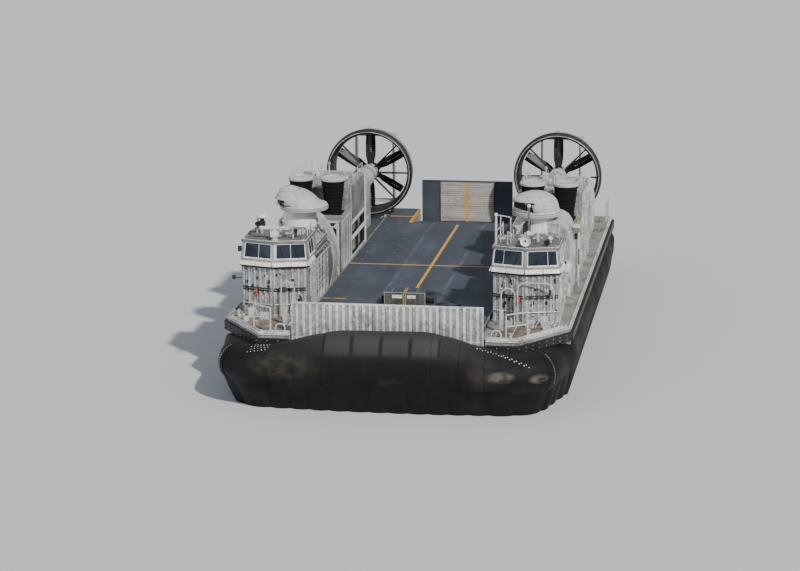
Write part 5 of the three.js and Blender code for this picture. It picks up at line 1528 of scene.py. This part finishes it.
def duct(side):
    """Shroud with a black lip and a light outer skin, struts, hub fairing and rudder beams."""
    x0, z0 = SIDES[side] * DUCT["x"], DUCT["z"]
    spot = (x0, 0, z0)

    def ray(a, r, y):
        return Vector((x0 + r * math.cos(a), y, z0 + r * math.sin(a)))

    lip = Shape()
    for outline in (DUCT_LIP, DUCT_LINER):
        lip.turned(outline, 96, spot, "Y", loop=True)
    lip.piece(f"duct_lip_{side}", "black", slot="duct_paint", smooth=40, replaces=(f"duct_{side}",))
    skin = Shape()
    skin.turned(DUCT_SKIN, 96, spot, "Y", loop=True)
    for y, r in ((11.25, 2.064), (11.55, 2.03), (11.82, 1.978)):
        band = [(r - 0.02, y - 0.02), (r + 0.016, y - 0.014), (r + 0.016, y + 0.014), (r - 0.02, y + 0.02)]
        skin.turned(band, 96, spot, "Y", loop=True)
    for a in around(24):
        path = ((2.1, 11.02), (2.055, 11.3), (2.02, 11.6), (1.94, 12.03))
        skin.tube([ray(a, r, y) for r, y in path], 0.012, 6)
    skin.piece(f"duct_skin_{side}", "duct", slot="duct_paint", smooth=40)
    bearing = Shape()
    bearing.turned(BEARING, 48, spot, "Y")
    for a in around(12):
        bearing.stud(ray(a, 0.405, 10.5), (math.cos(a), 0, math.sin(a)), 0.03, 0.02)
    bearing.turned(flat_ring((1.985, 2.015), (10.594, 10.62)), 96, spot, "Y", loop=True)
    bearing.piece(f"duct_bearing_{side}", "plate", slot="duct_paint")
    inner = Shape()
    for a in around(8):
        across = Vector((-math.sin(a), 0, math.cos(a)))
        rings = []
        for r, wide, deep in ((0.36, 0.0455, 0.13), (1.87, 0.035, 0.1)):
            section = [across * wide * math.cos(t) + Vector((0, deep * math.sin(t), 0)) for t in around(12)]
            rings.append([ray(a, r, 10.79) + point for point in section])
        inner.skin(rings)
    inner.piece(f"duct_struts_{side}", "black", slot="duct_paint")
    foot = Shape()
    foot.block(about(x0, 0.8), (10.95, 11.9), (FLOOR + 0.0005, 3.2))
    for x in (-0.72, -0.24, 0.24, 0.72):
        foot.block(about(x0 + x, 0.03), (10.88, 11.96), (FLOOR + 0.0005, 3.12))
    for z in (z0 - 1.645, z0 + 1.645):
        foot.block(about(x0, 1.13), (11.9, 12.48), about(z, 0.045))
        for x in about(x0, RUDDER["offset"]):
            foot.turned([(0.07, -0.06), (0.07, 0.06), (0.0, 0.065)], 16, (x, RUDDER["y"], z))
    foot.piece(f"duct_foot_{side}", "grey", slot="duct_paint", bevel=0.01)
    aerial = Shape()
    top = z0 + 2.11
    aerial.tube([(x0, 10.85, top - 0.02), (x0, 10.85, top + 0.12)], 0.03)
    aerial.block(about(x0, 0.09), (10.8, 10.9), (top + 0.06, top + 0.11))
    for a in around(40):
        aerial.stud(ray(a, 2.118, 10.86), (math.cos(a), 0, math.sin(a)), 0.016, 0.008)
    aerial.piece(f"duct_aerial_{side}", "trim", slot="duct_paint")


BLADE = (
    # radius, chord, twist in degrees, thickness
    (0.4, 0.43, 49, 0.07), (0.75, 0.56, 41, 0.05), (1.25, 0.54, 33, 0.036), (1.76, 0.47, 26.4, 0.024),
    (1.79, 0.44, 26, 0.018),
)
BLADE_SECTION = (
    # share of the chord, share of the thickness
    (-0.5, 0.0), (-0.42, 0.34), (-0.25, 0.5), (0.0, 0.46), (0.25, 0.3), (0.5, 0.0), (0.25, -0.24),
    (0.0, -0.34), (-0.25, -0.4), (-0.42, -0.3),
)
SPINNER = (
    # radius, distance behind the hub's aft end
    (0.36, 0.09), (0.29, 0.17), (0.19, 0.235), (0.08, 0.265), (0.0, 0.27),
)


def propeller(side):
    """Spinner and six twisted blades with pale leading-edge dots. They turn with the propeller."""
    body = f"propeller_{side}"
    spot = Vector((SIDES[side] * DUCT["x"], 0, DUCT["z"]))
    hub_r, fore, aft = PROP["hub_r"], PROP["fore_y"], PROP["aft_y"]
    middle = spot + Vector((0, (fore + aft) / 2, 0))
    hub = Shape()
    outline = [(0.0, fore + 0.0003), (0.36, fore + 0.0003), (hub_r, fore + 0.03), (hub_r, aft)]
    hub.turned(outline + [(r, aft + y) for r, y in SPINNER], 48, spot, "Y")
    blades = Shape()
    dots = Shape()
    rows = []
    for first, second in zip(BLADE, BLADE[1:]):
        rows += [[lerp(a, b, t) for a, b in zip(first, second)] for t in spread(0, 1, 6)[:-1]]
    rows.append(BLADE[-1])
    for a in around(6):
        out, across = Vector((math.sin(a), 0, math.cos(a))), Vector((math.cos(a), 0, -math.sin(a)))
        hub.tube([middle + out * 0.33, middle + out * 0.46], 0.16, 20)
        rings = []
        for r, chord, twist, thick in rows:
            c, w = math.cos(math.radians(twist)), math.sin(math.radians(twist))
            ring = []
            for u, v in BLADE_SECTION:
                along, deep = u * chord * c - v * thick * w, u * chord * w + v * thick * c
                ring.append(middle + out * r + across * along + Vector((0, deep, 0)))
            rings.append(ring)
            if r > 0.9:
                dots.stud(ring[7], Vector((0, -1, 0)), 0.022, 0.008)
        blades.skin(rings)
    hub.piece(f"propeller_hub_{side}", "black", body, slot="blade_black", replaces=(body,))
    blades.piece(f"propeller_blades_{side}", "blade", body, slot="blade_black", smooth=60)
    dots.piece(f"propeller_dots_{side}", "trim", body, slot="blade_black")


def rudders(side):
    """Ribs around each rudder's shaft, and its end plates' edges. They turn with the rudder."""
    s = SIDES[side]
    low, high = about(DUCT["z"], RUDDER["half"])
    pivot = RUDDER["y"]
    for place, t in (("inner", -s), ("outer", s)):
        x = s * DUCT["x"] + t * RUDDER["offset"]
        ribs = Shape()
        for z in spread(low + 0.15, high - 0.15, 9):
            ribs.block(about(x, 0.05), (pivot - 0.02, pivot + 0.08), about(z, 0.012))
        for z in (low + 0.02, high - 0.02):
            ribs.block(about(x, 0.022), (pivot + 0.1, pivot + 0.6), about(z, 0.015))
        ribs.piece(f"rudder_ribs_{side}_{place}", "trim", f"rudder_{side}_{place}", bevel=0.003)


def radar_trim():
    """The gearbox's drum on the roof, and the end caps and front strip that turn with the scanner."""
    x, y = RADAR["x"], RADAR["y"]
    z = CABIN["roof_z"]
    drum = Shape()
    drum.turned([(0.15, 0.0), (0.15, 0.02), (0.115, 0.03), (0.115, 0.0)], 28, (x, y, z), loop=True)
    outline = [(0.09, 0.12), (0.155, 0.14), (0.165, 0.2), (0.165, 0.34), (0.13, 0.395), (0.0, 0.398)]
    drum.turned(outline, 32, (x, y, z))
    drum.piece("radar_drum", "white", slot="white_paint")
    caps = Shape()
    for t in (-1, 1):
        caps.block((x + t * 0.6, x + t * 0.62), about(y, 0.05), (z + 0.455, z + 0.575))
    caps.block(about(x, 0.6), (y - 0.052, y - 0.044), (z + 0.5, z + 0.53))
    caps.piece("radar_scanner_trim", "grey", "radar", slot="white_paint", bevel=0.003)


def flank_gear():
    """Canister, box, posts and small gear beside the port cabin, casing and neck."""
    canister_at = (6.74, -7.2, 4.8)
    canister = Shape()
    outline = [(0.0, -0.42), (0.13, -0.4), (0.15, -0.34), (0.15, 0.34), (0.13, 0.4), (0.0, 0.42)]
    canister.turned(outline, 24, canister_at, "Y")
    for y in (-0.25, 0.25):
        canister.turned(flat_ring((0.15, 0.165), about(y, 0.02)), 24, canister_at, "Y", loop=True)
    canister.piece("flank_canister", "white", slot="white_paint")
    box = Shape()
    box.block((6.6, 6.84), (-2.95, -2.5), (5.34, 5.56))
    box.piece("flank_box", "floor", slot="grey_paint", bevel=0.01)
    post_x, post_y = 6.78, -2.3
    rim = Shape()
    rim.block((6.58, 6.86), (-2.97, -2.48), (5.56, 5.62))
    rim.rod(post_x, post_y, (FLOOR, 5.34), 0.022)
    rim.piece("flank_box_rim", "white", slot="white_paint", bevel=0.008)
    dark_gear = Shape()
    dark_gear.block((6.62, 6.76), (-2.75, -2.6), (5.0, 5.24))
    dark_gear.rod(post_x, post_y, (3.8, 4.5), 0.028)
    dark_gear.piece("flank_dark_gear", "black", slot="rubber")
    fore = THRUSTER["y"] - 0.92
    band = Shape()
    loop = [(4.58, fore, 5.44), (4.36, fore, 5.5), (4.42, fore, 5.78), (4.56, fore, 6.02), (4.7, fore, 6.16)]
    band.tube(bend_corners(loop, 0.12), 0.04)
    band.tube([(4.4, fore, 5.6), (4.52, fore, 5.92)], 0.055)
    band.piece("port_neck_band", "plate", slot="white_paint")
    # A black plate before the left of the port neck: painted shade of the open space there.
    shade = Shape()
    shade.block((4.62, 4.94), (fore + 0.08, fore + 0.12), (5.5, 6.16))
    shade.piece("port_neck_painted_shade", "black")
    marks = Shape()
    for y, z in ((-1.9, 5.7), (-1.7, 5.84), (-1.8, 5.56)):
        marks.block((6.62, 6.72), (y, y + 0.12), (z, z + 0.08))
    marks.piece("flank_marks", "moss", slot="deck_coating", bevel=0.006)
    stand = Shape()
    stand.rod(6.68, -1.8, (FLOOR, 5.9), 0.02)
    stand.piece("flank_mark_post", "trim")


# Looks of the CAD nodes that stay in view
NODE_LOOKS = {
    "hull": ("hull", 0.0), "cargo_deck": ("deck", 0.0), "bow_ramp": ("ramp", 0.006),
    "stern_ramp": ("deck", 0.006), "winch_box": ("deck", 0.012), "skirt_keel": ("bag", 0.08),
    "radar_box": ("white", 0.015), "radar_scanner": ("white", 0.012),
}
SIDE_LOOKS = {
    "fender": ("black", 0.02), "foredeck_rails": ("rail", 0.0), "cabin_shell": ("wall", 0.008),
    "cabin_roof": ("roof", 0.0), "cabin_glass": ("glass", 0.0), "cabin_door": ("grey", 0.006),
    "fan_module": ("plate", 0.0), "engine_module": ("wall", 0.012), "engine": ("engine", 0.03),
    "aft_module": ("plate", 0.015),
}


def dress_nodes():
    looks = dict(NODE_LOOKS)
    for side in SIDES:
        looks.update({f"{name}_{side}": value for name, value in SIDE_LOOKS.items()})
        looks.update({f"rudder_{side}_{place}": ("grey", 0.0) for place in ("inner", "outer")})
    for name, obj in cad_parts.items():
        look, bevel = looks.get(name, ("plate", 0.0))
        obj.data.materials.clear()
        obj.data.materials.append(LOOKS[look])
        if bevel:
            add_bevel(obj, bevel)


SIDE_PARTS = (
    hull_edge, cabin_windows, cabin_body, cabin_roof, door, foredeck, fan_casing, thruster, middle_frame,
    engine_module, stacks, aft_module, duct, propeller, rudders,
)


def build():
    for part in (skirt, deck_fittings, bow_ramp, stern_ramp, winch):
        part()
    for side in SIDES:
        for part in SIDE_PARTS:
            part(side)
    for part in (starboard_roof, port_roof, radar_trim, flank_gear, dress_nodes):
        part()


# Camera, light and floor
def place_camera():
    """The photo's own camera: azimuth, elevation and roll in degrees, and metres."""
    azimuth, elevation, roll = (math.radians(v) for v in (9.06, 13.33, -0.40))
    target, distance = Vector((-0.79, -3.84, 3.0)), 108.33
    level = Vector((math.sin(azimuth), -math.cos(azimuth), 0))
    back = level * math.cos(elevation) + Vector((0, 0, math.sin(elevation)))
    right = Vector((math.cos(azimuth), math.sin(azimuth), 0))
    up = back.cross(right)
    turned_right = right * math.cos(roll) + up * math.sin(roll)
    turned_up = up * math.cos(roll) - right * math.sin(roll)
    camera = bpy.data.objects.new("camera", bpy.data.cameras.new("camera"))
    bpy.context.scene.collection.objects.link(camera)
    pose = Matrix((turned_right, turned_up, back)).transposed().to_4x4()
    pose.translation = target + back * distance
    camera.matrix_world = pose
    camera.data.sensor_width = 36
    camera.data.lens = 113.06
    camera.data.clip_end = 2000
    bpy.context.scene.camera = camera


def light(name, kind, energy, turn, **settings):
    made = bpy.data.objects.new(name, bpy.data.lights.new(name, kind))
    made.data.energy = energy
    for key, value in settings.items():
        setattr(made.data, key, value)
    made.rotation_euler = [math.radians(v) for v in turn]
    bpy.context.scene.collection.objects.link(made)


def set_stage():
    mesh = bpy.data.meshes.new("floor")
    mesh.from_pydata([(-400, -400, 0), (400, -400, 0), (400, 600, 0), (-400, 600, 0)], [], [(0, 1, 2, 3)])
    floor = bpy.data.objects.new("floor", mesh)
    bpy.context.scene.collection.objects.link(floor)
    material = bpy.data.materials.new("pale_floor")
    material.use_nodes = True
    shader = material.node_tree.nodes["Principled BSDF"]
    shader.inputs["Base Color"].default_value = (0.56, 0.58, 0.6, 1)
    shader.inputs["Roughness"].default_value = 0.9
    mesh.materials.append(material)
    light("sun", "SUN", 4.1, (50.3, 0, 40.3), angle=0.04, color=(1.0, 0.96, 0.9))
    light("fill", "SUN", 0.5, (60, 0, -50), angle=0.8, color=(0.85, 0.9, 1.0))
    world = bpy.data.worlds.new("sky")
    world.use_nodes = True
    backdrop = world.node_tree.nodes["Background"]
    backdrop.inputs["Color"].default_value = (0.78, 0.84, 0.92, 1)
    backdrop.inputs["Strength"].default_value = 0.46
    bpy.context.scene.world = world


place_camera()
set_stage()
build()
